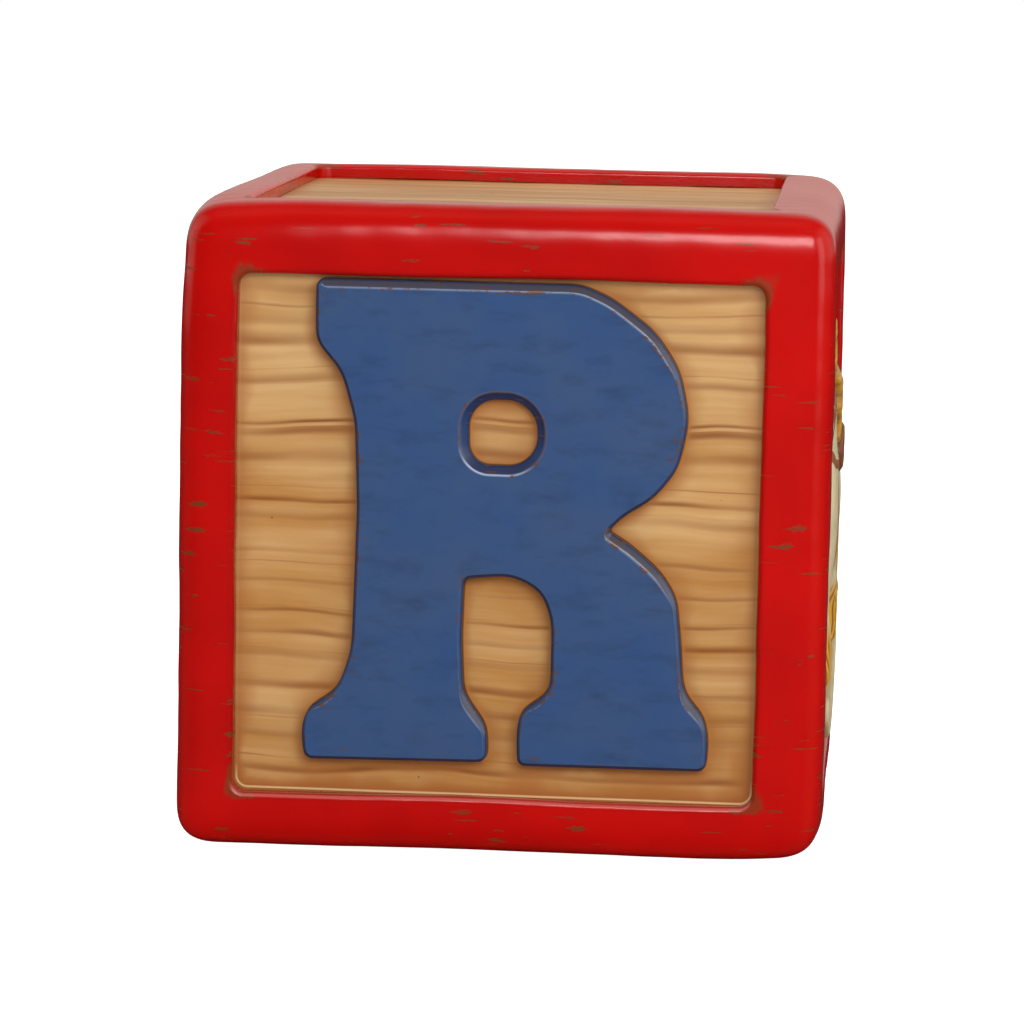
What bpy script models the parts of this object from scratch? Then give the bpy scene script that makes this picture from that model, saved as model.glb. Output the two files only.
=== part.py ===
"""Display letter block: a hollow cube of mitred timber rails round thin wooden panels.

Two faces carry a raised letter and the two beside them a raised rocking horse.
Metres, Z up. The origin is the middle of the underside, and the letter looks along -Y.
Flat pieces are made on the front face and turned to their own face about the cube's centre.
"""

import math

import bmesh
import bpy
from mathutils import Matrix, Vector

MM = 0.001

# Frame
BLOCK = 600 * MM
EDGE_RADIUS = 32 * MM
RAIL_WIDTH = 60 * MM
RAIL_THICKNESS = 34 * MM
OPENING_RADIUS = 12 * MM
OPENING_ROUNDOVER = 5 * MM
FIT_GAP = 0.3 * MM

# Panels and base board
RECESS = 14 * MM
PANEL_THICKNESS = 12 * MM
GROOVE_DEPTH = 10 * MM
PANEL_EDGE_GAP = 0.8 * MM
BASE_THICKNESS = 18 * MM

# Corner blocks, which reach past the openings to carry the base board
CORNER_REACH = 24 * MM
CORNER_CHAMFER = 2 * MM
CORNER_CUT = 30 * MM

# Dowels from each corner block into its three rails
DOWEL_RADIUS = 5 * MM
DOWEL_DEPTH = 16 * MM
DOWEL_INSET = 8 * MM
DOWEL_STAGGER = 18 * MM

# Pegs behind the raised pieces
PEG_RADIUS = 4 * MM
SADDLE_PEG_LENGTH = 7 * MM
PEG_SHORT = 0.5 * MM
ROOTED = 3 * MM

# Screws that hold the base board
SCREW_RADIUS = 2.5 * MM
SCREW_HEAD_RADIUS = 5 * MM
SCREW_HEAD_DEPTH = 3 * MM
SCREW_LENGTH = 45 * MM
SCREW_INSET = 12 * MM
SCREW_TIP = 2 * MM
SCREW_SOCKET_RADIUS = 1.5 * MM
SCREW_SOCKET_DEPTH = 1.5 * MM
HEAD_SUNK = 0.3 * MM
CUT_MARGIN = 2 * MM

# Raised pieces, measured out from the panel's face
LETTER_PROUD = 15 * MM
LETTER_ROUNDOVER = 6 * MM
HORSE_PROUD = 12 * MM
HORSE_ROUNDOVER = 4.5 * MM
BARREL_PROUD = 20 * MM
BARREL_ROUNDOVER = 7 * MM
BARREL_ROOT = 4 * MM
MANE_PROUD = 15 * MM
TAIL_PROUD = 19 * MM
ROCKER_PROUD = 19 * MM
HAIR_ROUNDOVER = 5 * MM
SADDLE_THICKNESS = 6 * MM
SADDLE_ROUNDOVER = 3 * MM

# Room between the letter and the edges of its opening
LETTER_LEFT_GAP = 59.5 * MM
LETTER_RIGHT_GAP = 45 * MM
LETTER_FOOT_GAP = 27 * MM
LETTER_TOP_GAP = 9 * MM

# Room between the horse and the edges of its opening
NOSE_GAP = 36 * MM
TAIL_GAP = 16 * MM
EAR_GAP = 27 * MM
ROCKER_GAP = 14 * MM
HOOF_RISE = 32 * MM

# The horse's rocker is a crescent between two arcs
ROCKER_SIDE_GAP = 38 * MM
ROCKER_RISE = 46 * MM
ROCKER_WIDTH = 27 * MM
ROCKER_POINTS = 7

# Fineness of the curves
ARC_STEPS = 3
ROUNDOVER_STEPS = 2
EDGE_STEPS = 5
TURNED_SIDES = 10
SHARP_ANGLE = math.radians(35)
ROOM_SHARE = 0.48

HALF = BLOCK / 2
CENTRE = Vector((0, 0, HALF))
OPENING_HALF = HALF - RAIL_WIDTH
RAIL_REACH = RAIL_WIDTH + OPENING_RADIUS * (1 - math.sqrt(0.5)) + FIT_GAP
GROOVE_LOW = RECESS - FIT_GAP
GROOVE_HIGH = RECESS + PANEL_THICKNESS + FIT_GAP
PANEL_BACK = RECESS + PANEL_THICKNESS
PANEL_HALF = OPENING_HALF + GROOVE_DEPTH - PANEL_EDGE_GAP
CORNER_START = RAIL_THICKNESS + FIT_GAP
CORNER_END = RAIL_WIDTH + CORNER_REACH
DOWEL_NEAR = RAIL_THICKNESS + DOWEL_INSET
DOWEL_FAR = DOWEL_NEAR + DOWEL_STAGGER
SCREW_AT = RAIL_WIDTH + SCREW_INSET
BASE_DEPTH = RAIL_THICKNESS - BASE_THICKNESS
ROCKER_SPAN = 2 * (OPENING_HALF - ROCKER_SIDE_GAP)
SADDLE_SEAT = RECESS - HORSE_PROUD - FIT_GAP

# Outlines, drawn anticlockwise as (across, height, corner radius) and fitted to their opening below
LETTER_OUTLINE = (
    (-171, 531, 8), (-171, 474, 10), (-147, 447, 30), (-134, 402, 45), (-131, 322, 150),
    (-134.5, 190, 70), (-147, 152, 22), (-176, 134, 12), (-180.5, 113, 26), (-177, 87, 9),
    (-8, 89, 9), (-8.5, 122, 20), (-31, 152, 24), (-33.5, 205, 100), (-32, 259.5, 8),
    (12, 263.5, 28), (40, 250, 24), (49.5, 222, 34), (49.5, 155, 16), (21, 138, 14),
    (19, 112, 40), (20.5, 87, 7), (193, 87.5, 8), (195, 114, 34), (191, 138, 22),
    (171, 158, 28), (167.5, 205, 80), (163, 247, 34), (147, 271, 44), (120, 294, 70),
    (99, 307, 3), (114, 322, 34), (139, 337, 28), (161, 364, 34), (171, 410, 60),
    (161, 456, 64), (138, 490, 56), (99, 519, 56), (71, 531, 22),
)
LETTER_COUNTER = ((-28.5, 364.5, 9), (33, 363.5, 22), (33, 424.5, 26), (-30.5, 424, 19))
LETTER_PEGS = ((-155, 108), (-82, 200), (-82, 330), (-100, 490), (100, 400), (120, 205), (160, 110))
HORSE_OUTLINE = (
    (112, 354, 44), (30, 340, 120), (-50, 356, 40), (-80, 404, 70), (-92, 450, 50),
    (-103, 482, 14), (-112, 513, 7), (-127, 487, 14), (-147, 470, 30), (-178, 424, 50),
    (-204, 400, 16), (-198, 374, 15), (-176, 370, 16), (-152, 392, 22), (-141, 389, 14), (-139, 348, 50),
    (-154, 304, 44), (-136, 262, 30), (-174, 222, 20), (-187, 160, 40), (-187, 132, 6),
    (-149, 116, 6), (-146, 158, 20), (-136, 202, 26), (-92, 232, 30), (-40, 227, 120),
    (40, 225, 90), (92, 214, 24), (110, 176, 40), (125, 106, 6), (162, 118, 6),
    (163, 166, 16), (150, 214, 26), (164, 262, 60), (160, 322, 46),
)
BARREL_OUTLINE = (
    (120, 336, 40), (10, 321, 200), (-104, 338, 40), (-143, 304, 36), (-120, 254, 34),
    (-40, 240, 150), (50, 238, 120), (130, 248, 36), (152, 300, 40),
)
MANE_OUTLINE = (
    (-88, 496, 9), (-106, 478, 9), (-104, 452, 14), (-121, 432, 9), (-102, 420, 14),
    (-110, 398, 9), (-86, 390, 14), (-92, 368, 9), (-70, 368, 14), (-55, 360, 7),
    (-52, 386, 20), (-58, 426, 50), (-70, 466, 40),
)
SADDLE_OUTLINE = (
    (78, 335, 12), (72, 373, 12), (52, 369, 14), (16, 350, 50), (-16, 366, 12), (-30, 377, 8),
    (-44, 352, 14), (-34, 333, 12), (16, 329, 80),
)
TAIL_OUTLINE = (
    (142, 342, 12), (162, 326, 24), (174, 304, 50), (178, 262, 70), (176, 206, 40),
    (184, 168, 8), (193, 186, 12), (204, 158, 9), (217, 196, 50), (224, 250, 80),
    (218, 308, 60), (200, 354, 34), (168, 372, 24), (134, 362, 10),
)
HORSE_PEGS = ((-104, 300), (112, 285))
TAIL_PEGS = ((194, 310), (198, 225))
SADDLE_PEGS = ((-22, 341), (52, 338))
MANE_PEGS = ((-86, 452), (-72, 396))
ROCKER_PEG_SHARE = 0.62

RED = (0.52, 0.035, 0.045)
BLUE = (0.05, 0.09, 0.235)
PINE = (0.63, 0.36, 0.15)
BEECH = (0.55, 0.38, 0.21)
PLYWOOD = (0.60, 0.45, 0.27)
CREAM = (0.80, 0.66, 0.45)
GOLD = (0.72, 0.38, 0.08)
BROWN = (0.24, 0.11, 0.045)
STEEL = (0.62, 0.62, 0.60)


def clear_scene():
    """Take away whatever the scene holds."""
    for item in list(bpy.data.objects):
        bpy.data.objects.remove(item, do_unlink=True)


def paint(name, colour, roughness, metallic=0.0):
    """One plain material."""
    material = bpy.data.materials.new(name)
    material.use_nodes = True
    shader = material.node_tree.nodes["Principled BSDF"]
    shader.inputs["Base Color"].default_value = (*colour, 1)
    shader.inputs["Roughness"].default_value = roughness
    shader.inputs["Metallic"].default_value = metallic
    return material


def finish_mesh(form, name):
    """Turn a bmesh into a closed mesh that faces outward and shades smooth where it is round."""
    bmesh.ops.recalc_face_normals(form, faces=form.faces)
    mesh = bpy.data.meshes.new(name)
    form.to_mesh(mesh)
    form.free()
    mesh.shade_smooth()
    mesh.set_sharp_from_angle(angle=SHARP_ANGLE)
    return mesh


def place(name, mesh, material, matrix=None):
    """One named piece, with its own material slot on the object."""
    item = bpy.data.objects.new(name, mesh)
    bpy.context.scene.collection.objects.link(item)
    if not mesh.materials:
        mesh.materials.append(None)
    item.material_slots[0].link = "OBJECT"
    item.material_slots[0].material = material
    item.matrix_world = matrix or Matrix.Identity(4)
    return item


def combine(mesh, tool_form, operation):
    """The mesh after one exact Boolean with the tool."""
    subject = bpy.data.objects.new("subject", mesh)
    tool = bpy.data.objects.new("tool", finish_mesh(tool_form, "tool"))
    for item in (subject, tool):
        bpy.context.scene.collection.objects.link(item)
    tool.hide_render = True
    tool.display_type = "WIRE"
    modifier = subject.modifiers.new("combine", "BOOLEAN")
    modifier.operation = operation
    modifier.solver = "EXACT"
    modifier.object = tool
    graph = bpy.context.evaluated_depsgraph_get()
    result = bpy.data.meshes.new_from_object(subject.evaluated_get(graph))
    for item in (subject, tool):
        bpy.data.objects.remove(item, do_unlink=True)
    return result


def cleaned(mesh, name):
    """The mesh with what Booleans leave behind merged away."""
    form = bmesh.new()
    form.from_mesh(mesh)
    bmesh.ops.remove_doubles(form, verts=form.verts, dist=0.005 * MM)
    bmesh.ops.dissolve_degenerate(form, edges=form.edges, dist=0.005 * MM)
    return finish_mesh(form, name)


def box_form(low, high):
    """A closed box between two corners."""
    form = bmesh.new()
    size = Vector(high) - Vector(low)
    middle = (Vector(high) + Vector(low)) / 2
    bmesh.ops.create_cube(form, size=1, matrix=Matrix.Translation(middle) @ Matrix.Diagonal((*size, 1)))
    return form


def rounded_outline(corners, inset=0.0):
    """Points of a closed outline with rounded corners, moved into its area by inset."""
    points = []
    count = len(corners)
    for index, (x, z, wanted) in enumerate(corners):
        corner = Vector((x, z))
        before = Vector(corners[index - 1][:2])
        after = Vector(corners[(index + 1) % count][:2])
        inward = (corner - before).normalized()
        onward = (after - corner).normalized()
        turn = math.atan2(inward.x * onward.y - inward.y * onward.x, inward.dot(onward))
        side = math.copysign(1, turn)
        slope = math.tan(abs(turn) / 2)
        room = min((corner - before).length, (after - corner).length)
        radius = min(wanted, ROOM_SHARE * room / max(slope, 1e-6))
        towards_centre = Vector((-inward.y, inward.x)) * side
        centre = corner - inward * radius * slope + towards_centre * radius
        reach = radius - side * inset
        first = math.atan2(-towards_centre.y, -towards_centre.x)
        for step in range(ARC_STEPS + 1):
            angle = first + turn * step / ARC_STEPS
            points.append(centre + reach * Vector((math.cos(angle), math.sin(angle))))
    return points


def fit_to(across, heights, left, right, low, high):
    """The scales and shifts that take drawn points onto a box about the middle of the opening."""
    across_scale = (right - left) / (max(across) - min(across))
    height_scale = (high - low) / (max(heights) - min(heights))
    return across_scale, left - min(across) * across_scale, height_scale, low - min(heights) * height_scale


def letter_fit():
    """Where the letter's drawn points go."""
    across = [x for x, z, radius in LETTER_OUTLINE]
    heights = [z for x, z, radius in LETTER_OUTLINE]
    return fit_to(
        across, heights,
        LETTER_LEFT_GAP - OPENING_HALF, OPENING_HALF - LETTER_RIGHT_GAP,
        LETTER_FOOT_GAP - OPENING_HALF, OPENING_HALF - LETTER_TOP_GAP,
    )


def horse_fit():
    """Where the horse's drawn points go, its hooves a little above the foot of the rocker."""
    across = [x for x, z, radius in HORSE_OUTLINE + TAIL_OUTLINE]
    heights = [z for x, z, radius in HORSE_OUTLINE]
    return fit_to(
        across, heights,
        NOSE_GAP - OPENING_HALF, OPENING_HALF - TAIL_GAP,
        ROCKER_GAP + HOOF_RISE - OPENING_HALF, OPENING_HALF - EAR_GAP,
    )


def fitted(outline, fit):
    """A drawn outline in metres about the middle of its face."""
    across_scale, across_shift, height_scale, height_shift = fit
    radius_scale = min(across_scale, height_scale)
    return [
        (x * across_scale + across_shift, z * height_scale + height_shift, radius * radius_scale)
        for x, z, radius in outline
    ]


def face_point(across, up, depth):
    """A point of the front face, depth below it."""
    return Vector((across, depth - HALF, HALF + up))


def lofted(loops, levels):
    """A closed form on the front face. Each loop is (corners, side) with side -1 for a hole, and each
    level is (depth, inset)."""
    form = bmesh.new()
    rows = []
    for corners, side in loops:
        rings = []
        for depth, inset in levels:
            outline = rounded_outline(corners, inset * side)
            rings.append([form.verts.new(face_point(point.x, point.y, depth)) for point in outline])
        rows.append(rings)
    for rings in rows:
        for lower, upper in zip(rings, rings[1:]):
            for index in range(len(lower)):
                behind = index - 1
                form.faces.new((lower[behind], lower[index], upper[index], upper[behind]))
    for level in (0, -1):
        edges = []
        for rings in rows:
            ring = rings[level]
            edges += [form.edges.get((ring[index - 1], ring[index])) for index in range(len(ring))]
        bmesh.ops.triangle_fill(form, use_beauty=True, use_dissolve=False, edges=edges)
    return form


def raised_levels(back, front, roundover):
    """Levels of a raised piece, from its flat back to its rounded front edge."""
    levels = [(back, 0.0)]
    for step in range(ROUNDOVER_STEPS + 1):
        angle = step / ROUNDOVER_STEPS * math.pi / 2
        drop = roundover * (1 - math.sin(angle))
        levels.append((front + drop, roundover * (1 - math.cos(angle))))
    return levels


def square_corners(half, radius):
    """Rounded square about the middle of a face, anticlockwise."""
    return [(-half, -half, radius), (half, -half, radius), (half, half, radius), (-half, half, radius)]


def revolved(form, start, direction, profile):
    """Add a closed turned form. The profile is (distance from start, radius) and begins and ends on
    the axis."""
    direction = Vector(direction).normalized()
    across = direction.orthogonal().normalized()
    around = direction.cross(across)
    start = Vector(start)
    rings = []
    for distance, radius in profile[1:-1]:
        ring = []
        for index in range(TURNED_SIDES):
            angle = index / TURNED_SIDES * math.tau
            spoke = across * math.cos(angle) + around * math.sin(angle)
            ring.append(form.verts.new(start + direction * distance + spoke * radius))
        rings.append(ring)
    first = form.verts.new(start + direction * profile[0][0])
    last = form.verts.new(start + direction * profile[-1][0])
    for index in range(TURNED_SIDES):
        behind = index - 1
        form.faces.new((first, rings[0][behind], rings[0][index]))
        for lower, upper in zip(rings, rings[1:]):
            form.faces.new((lower[behind], upper[behind], upper[index], lower[index]))
        form.faces.new((last, rings[-1][index], rings[-1][behind]))


def rod(length, radius):
    """Profile of a plain rod."""
    return (0, 0), (0, radius), (length, radius), (length, 0)


def screw_profile():
    """Countersunk screw with a small socket in its head."""
    return (
        (SCREW_SOCKET_DEPTH, 0),
        (0, SCREW_SOCKET_RADIUS),
        (0, SCREW_HEAD_RADIUS),
        (SCREW_HEAD_DEPTH, SCREW_RADIUS),
        (SCREW_LENGTH - SCREW_TIP, SCREW_RADIUS),
        (SCREW_LENGTH, 0),
    )


def screw_hole_profile():
    """Hole round such a screw, open past the head."""
    return (
        (-CUT_MARGIN, 0),
        (-CUT_MARGIN, SCREW_HEAD_RADIUS + FIT_GAP),
        (0, SCREW_HEAD_RADIUS + FIT_GAP),
        (SCREW_HEAD_DEPTH, SCREW_RADIUS + FIT_GAP),
        (SCREW_LENGTH + FIT_GAP, SCREW_RADIUS + FIT_GAP),
        (SCREW_LENGTH + FIT_GAP, 0),
    )


def turned_form(places, profile):
    """One form with the same turned solid at each (start, direction)."""
    form = bmesh.new()
    for start, direction in places:
        revolved(form, start, direction, profile)
    return form


def rounded_cube():
    """The block's outer shape."""
    form = box_form((-HALF, -HALF, 0), (HALF, HALF, BLOCK))
    bmesh.ops.bevel(
        form, geom=form.edges[:], offset=EDGE_RADIUS, segments=EDGE_STEPS, profile=0.5, affect="EDGES"
    )
    return form


def opening_form():
    """What the front opening takes out, with its rounded edge."""
    levels = [(RAIL_THICKNESS + CUT_MARGIN, 0.0)]
    for step in range(ROUNDOVER_STEPS + 1):
        angle = step / ROUNDOVER_STEPS * math.pi / 2
        levels.append((OPENING_ROUNDOVER * (1 - math.sin(angle)), OPENING_ROUNDOVER * (math.cos(angle) - 1)))
    last_depth, last_inset = levels[-1]
    next_depth, next_inset = levels[-2]
    levels[-1] = (2 * last_depth - next_depth, 2 * last_inset - next_inset)
    return lofted([(square_corners(OPENING_HALF, OPENING_RADIUS), 1)], levels)


def turned_to_top(form):
    """The same form moved from the front face to the top face."""
    turn = Matrix.Translation(CENTRE) @ Matrix.Rotation(-math.pi / 2, 4, "X") @ Matrix.Translation(-CENTRE)
    bmesh.ops.transform(form, matrix=turn, verts=form.verts)
    return form


def rail_mesh(front_grooved, top_grooved):
    """The top front rail: an angle-section beam, mitred three ways at each end."""
    past = CUT_MARGIN
    profile = (
        (-past, -past), (RAIL_REACH, -past), (RAIL_REACH, RAIL_THICKNESS),
        (RAIL_THICKNESS, RAIL_THICKNESS), (RAIL_THICKNESS, RAIL_REACH), (-past, RAIL_REACH),
    )
    form = bmesh.new()
    ends = []
    for x in (-HALF - past, HALF + past):
        ends.append([form.verts.new((x, depth - HALF, BLOCK - drop)) for depth, drop in profile])
    for index in range(len(profile)):
        form.faces.new((ends[0][index - 1], ends[0][index], ends[1][index], ends[1][index - 1]))
    form.faces.new(ends[0])
    form.faces.new(ends[1])
    bmesh.ops.recalc_face_normals(form, faces=form.faces)
    back_off = FIT_GAP / math.sqrt(2)
    for side in (-1, 1):
        for outward in (Vector((side, 1, 0)), Vector((side, 0, -1))):
            at = Vector((side * (HALF - back_off), -HALF, BLOCK))
            geometry = form.verts[:] + form.edges[:] + form.faces[:]
            cut = bmesh.ops.bisect_plane(
                form, geom=geometry, plane_co=at, plane_no=outward.normalized(), clear_outer=True
            )
            edges = [item for item in cut["geom_cut"] if isinstance(item, bmesh.types.BMEdge)]
            bmesh.ops.holes_fill(form, edges=edges, sides=0)
    mesh = combine(finish_mesh(form, "rail"), rounded_cube(), "INTERSECT")
    mesh = combine(mesh, opening_form(), "DIFFERENCE")
    mesh = combine(mesh, turned_to_top(opening_form()), "DIFFERENCE")
    groove_start = RAIL_WIDTH - GROOVE_DEPTH
    groove_stop = RAIL_REACH + CUT_MARGIN
    if front_grooved:
        low = (-BLOCK, GROOVE_LOW - HALF, BLOCK - groove_stop)
        high = (BLOCK, GROOVE_HIGH - HALF, BLOCK - groove_start)
        mesh = combine(mesh, box_form(low, high), "DIFFERENCE")
    if top_grooved:
        low = (-BLOCK, groove_start - HALF, BLOCK - GROOVE_HIGH)
        high = (BLOCK, groove_stop - HALF, BLOCK - GROOVE_LOW)
        mesh = combine(mesh, box_form(low, high), "DIFFERENCE")
    places = []
    for side in (-1, 1):
        start = corner_point((side, -1, 1), (DOWEL_FAR, DOWEL_NEAR, RAIL_THICKNESS + CUT_MARGIN))
        places.append((start, (0, 0, 1)))
    hole = rod(CUT_MARGIN + DOWEL_DEPTH + FIT_GAP, DOWEL_RADIUS + FIT_GAP)
    mesh = combine(mesh, turned_form(places, hole), "DIFFERENCE")
    return cleaned(mesh, "rail")


def corner_point(signs, distances):
    """World point at the given distances from a corner's three outer faces."""
    return Vector([CENTRE[axis] + signs[axis] * (HALF - distances[axis]) for axis in range(3)])


def direction_name(vector):
    """Words for the faces that a direction from the cube's centre points to."""
    words = []
    for axis, names in ((2, ("bottom", "top")), (1, ("front", "back")), (0, ("left", "right"))):
        if abs(vector[axis]) > 0.5 * max(abs(part) for part in vector):
            words.append(names[vector[axis] > 0])
    return "_".join(words)


def add_rails(material):
    """Twelve rails: half turns and cyclic swaps of the axes take one rail to every edge."""
    meshes = {}
    cycle = Matrix(((0, 0, 1), (1, 0, 0), (0, 1, 0)))
    half_turns = [Matrix.Identity(3)] + [Matrix.Rotation(math.pi, 3, axis) for axis in "XYZ"]
    for swaps in range(3):
        swap = Matrix.Identity(3)
        for _ in range(swaps):
            swap = cycle @ swap
        for half_turn in half_turns:
            turn = swap @ half_turn
            down = Vector((0, 0, -1))
            front_grooved = (turn @ Vector((0, -1, 0))).dot(down) < 0.5
            top_grooved = (turn @ Vector((0, 0, 1))).dot(down) < 0.5
            kind = (front_grooved, top_grooved)
            if kind not in meshes:
                meshes[kind] = rail_mesh(*kind)
            where = direction_name(turn @ Vector((0, -1, 1)))
            name = "rail_" + where if ("top" in where or "bottom" in where) else "post_" + where
            matrix = Matrix.Translation(CENTRE) @ turn.to_4x4() @ Matrix.Translation(-CENTRE)
            place(name, meshes[kind], material, matrix)


def dowel_places(signs):
    """The three dowels of one corner: each runs along one axis into the rail that crosses it there."""
    places = []
    for axis in range(3):
        distances = [0, 0, 0]
        distances[axis] = CORNER_START + ROOTED
        distances[(axis + 1) % 3] = DOWEL_FAR
        distances[(axis + 2) % 3] = DOWEL_NEAR
        direction = [0, 0, 0]
        direction[axis] = signs[axis]
        places.append((corner_point(signs, distances), direction))
    return places


def corner_block_mesh(signs, screw_places):
    """A cube with its inmost corner cut off and three dowels glued in."""
    low = corner_point(signs, [CORNER_START] * 3)
    high = corner_point(signs, [CORNER_END] * 3)
    form = box_form([min(pair) for pair in zip(low, high)], [max(pair) for pair in zip(low, high)])
    inward = -Vector(signs).normalized()
    at = high - inward * CORNER_CUT / math.sqrt(3)
    geometry = form.verts[:] + form.edges[:] + form.faces[:]
    cut = bmesh.ops.bisect_plane(form, geom=geometry, plane_co=at, plane_no=inward, clear_outer=True)
    edges = [item for item in cut["geom_cut"] if isinstance(item, bmesh.types.BMEdge)]
    bmesh.ops.holes_fill(form, edges=edges, sides=0)
    bmesh.ops.recalc_face_normals(form, faces=form.faces)
    bmesh.ops.bevel(form, geom=form.edges[:], offset=CORNER_CHAMFER, segments=1, profile=0.5, affect="EDGES")
    dowel = rod(ROOTED + FIT_GAP + DOWEL_DEPTH, DOWEL_RADIUS)
    mesh = finish_mesh(form, "corner_block")
    mesh = combine(mesh, turned_form(dowel_places(signs), dowel), "UNION")
    if screw_places:
        mesh = combine(mesh, turned_form(screw_places, screw_hole_profile()), "DIFFERENCE")
    return cleaned(mesh, "corner_block")


def add_corner_blocks(wood, steel):
    """Eight corner blocks, and the screws that hold the base board up to the lower four."""
    screw_places = []
    for x in (-1, 1):
        for y in (-1, 1):
            for z in (-1, 1):
                signs = (x, y, z)
                where = direction_name(Vector(signs))
                own_places = []
                if z < 0:
                    start = corner_point(signs, (SCREW_AT, SCREW_AT, BASE_DEPTH + HEAD_SUNK))
                    own_places = [(start, (0, 0, 1))]
                    screw_mesh = finish_mesh(turned_form(own_places, screw_profile()), "screw")
                    place("base_screw_" + where.removeprefix("bottom_"), screw_mesh, steel)
                    screw_places += own_places
                place("corner_block_" + where, corner_block_mesh(signs, own_places), wood)
    return screw_places


def face_turn(face):
    """The turn about the cube's centre that takes the front face to another face."""
    turns = {
        "front": Matrix.Identity(4),
        "right": Matrix.Rotation(math.pi / 2, 4, "Z"),
        "back": Matrix.Rotation(math.pi, 4, "Z"),
        "left": Matrix.Rotation(-math.pi / 2, 4, "Z"),
        "top": Matrix.Rotation(-math.pi / 2, 4, "X"),
        "bottom": Matrix.Rotation(math.pi / 2, 4, "X"),
    }
    return Matrix.Translation(CENTRE) @ turns[face] @ Matrix.Translation(-CENTRE)


def peg_places(spots, fit, depth=GROOVE_LOW - ROOTED):
    """Where pegs start inside a raised piece, at drawn spots, and their direction into the block."""
    places = fitted([(x, z, 0) for x, z in spots], fit)
    return [(face_point(across, up, depth), (0, 1, 0)) for across, up, radius in places]


def panel_mesh(name, pegs):
    """A panel with its peg holes, on the front face."""
    low = face_point(-PANEL_HALF, -PANEL_HALF, RECESS)
    high = face_point(PANEL_HALF, PANEL_HALF, PANEL_BACK)
    mesh = finish_mesh(box_form(low, high), name)
    if pegs:
        hole = rod(ROOTED + FIT_GAP + PANEL_THICKNESS + CUT_MARGIN, PEG_RADIUS + FIT_GAP)
        mesh = combine(mesh, turned_form(pegs, hole), "DIFFERENCE")
    return cleaned(mesh, name)


def raised_mesh(name, loops, proud, roundover, pegs):
    """A raised piece on the front panel, with the pegs that are glued into its back."""
    levels = raised_levels(GROOVE_LOW, RECESS - proud, roundover)
    mesh = finish_mesh(lofted(loops, levels), name)
    return cleaned(pegged(mesh, pegs), name)


def pegged(mesh, pegs):
    """The mesh with pegs that reach just short of the panel's back."""
    peg = rod(ROOTED + FIT_GAP + PANEL_THICKNESS - PEG_SHORT, PEG_RADIUS)
    return combine(mesh, turned_form(pegs, peg), "UNION")


def rocker_arc():
    """Height of the centre above the middle of the face, and radius, of the arc under the rocker."""
    radius = (ROCKER_SPAN**2 / 4 + ROCKER_RISE**2) / (2 * ROCKER_RISE)
    return ROCKER_GAP - OPENING_HALF + radius, radius


def rocker_corners():
    """The crescent: its lower arc, then a tighter arc back, which draws the ends in."""
    centre, radius = rocker_arc()
    reach = math.asin(ROCKER_SPAN / 2 / radius)
    corners = []
    for side, inner in ((1, 0.0), (-1, ROCKER_WIDTH)):
        for step in range(ROCKER_POINTS):
            share = side * (2 * step / (ROCKER_POINTS - 1) - 1)
            angle = reach * share
            end = step in (0, ROCKER_POINTS - 1)
            height = centre - (radius - inner) * math.cos(angle)
            corner_radius = ROCKER_WIDTH * (0.4 if end else 3)
            corners.append(((radius - inner) * math.sin(angle), height, corner_radius))
    return corners


def rocker_pegs():
    """Pegs along the middle of the crescent."""
    centre, radius = rocker_arc()
    reach = math.asin(ROCKER_SPAN / 2 / radius)
    places = []
    for share in (-1, 0, 1):
        angle = share * reach * ROCKER_PEG_SHARE
        middle = radius - ROCKER_WIDTH / 2
        height = centre - middle * math.cos(angle)
        places.append((face_point(middle * math.sin(angle), height, GROOVE_LOW - ROOTED), (0, 1, 0)))
    return places


def add_letters(panel_material, letter_material):
    """The letter and its panel, on the front and the back."""
    fit = letter_fit()
    pegs = peg_places(LETTER_PEGS, fit)
    loops = [(fitted(LETTER_OUTLINE, fit), 1), (fitted(LETTER_COUNTER, fit), -1)]
    panel = panel_mesh("letter_panel", pegs)
    letter = raised_mesh("letter", loops, LETTER_PROUD, LETTER_ROUNDOVER, pegs)
    for face in ("front", "back"):
        turn = face_turn(face)
        place("panel_" + face, panel, panel_material, turn)
        place("letter_" + face, letter, letter_material, turn)


def saddle_peg_form(clearance):
    """The saddle's pegs, or with a clearance their holes in the horse's back."""
    places = peg_places(SADDLE_PEGS, horse_fit(), SADDLE_SEAT - ROOTED)
    return turned_form(places, rod(ROOTED + SADDLE_PEG_LENGTH + clearance, PEG_RADIUS + clearance))


def horse_mesh(pegs, neighbours):
    """The horse's body: a flat silhouette with a fuller barrel, cut back for what lies beside it."""
    fit = horse_fit()
    levels = raised_levels(GROOVE_LOW, RECESS - HORSE_PROUD, HORSE_ROUNDOVER)
    barrel_levels = raised_levels(RECESS - BARREL_ROOT, RECESS - BARREL_PROUD, BARREL_ROUNDOVER)
    mesh = finish_mesh(lofted([(fitted(HORSE_OUTLINE, fit), 1)], levels), "horse")
    mesh = combine(mesh, lofted([(fitted(BARREL_OUTLINE, fit), 1)], barrel_levels), "UNION")
    room_levels = [(RECESS + CUT_MARGIN, -FIT_GAP), (RECESS - BARREL_PROUD, -FIT_GAP)]
    for neighbour in neighbours:
        mesh = combine(mesh, lofted([(neighbour, 1)], room_levels), "DIFFERENCE")
    mesh = combine(mesh, saddle_peg_form(FIT_GAP), "DIFFERENCE")
    return cleaned(pegged(mesh, pegs), "horse")


def saddle_mesh():
    """The saddle lies on the horse's back."""
    levels = raised_levels(SADDLE_SEAT, SADDLE_SEAT - SADDLE_THICKNESS, SADDLE_ROUNDOVER)
    mesh = finish_mesh(lofted([(fitted(SADDLE_OUTLINE, horse_fit()), 1)], levels), "saddle")
    return cleaned(combine(mesh, saddle_peg_form(0), "UNION"), "saddle")


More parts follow.
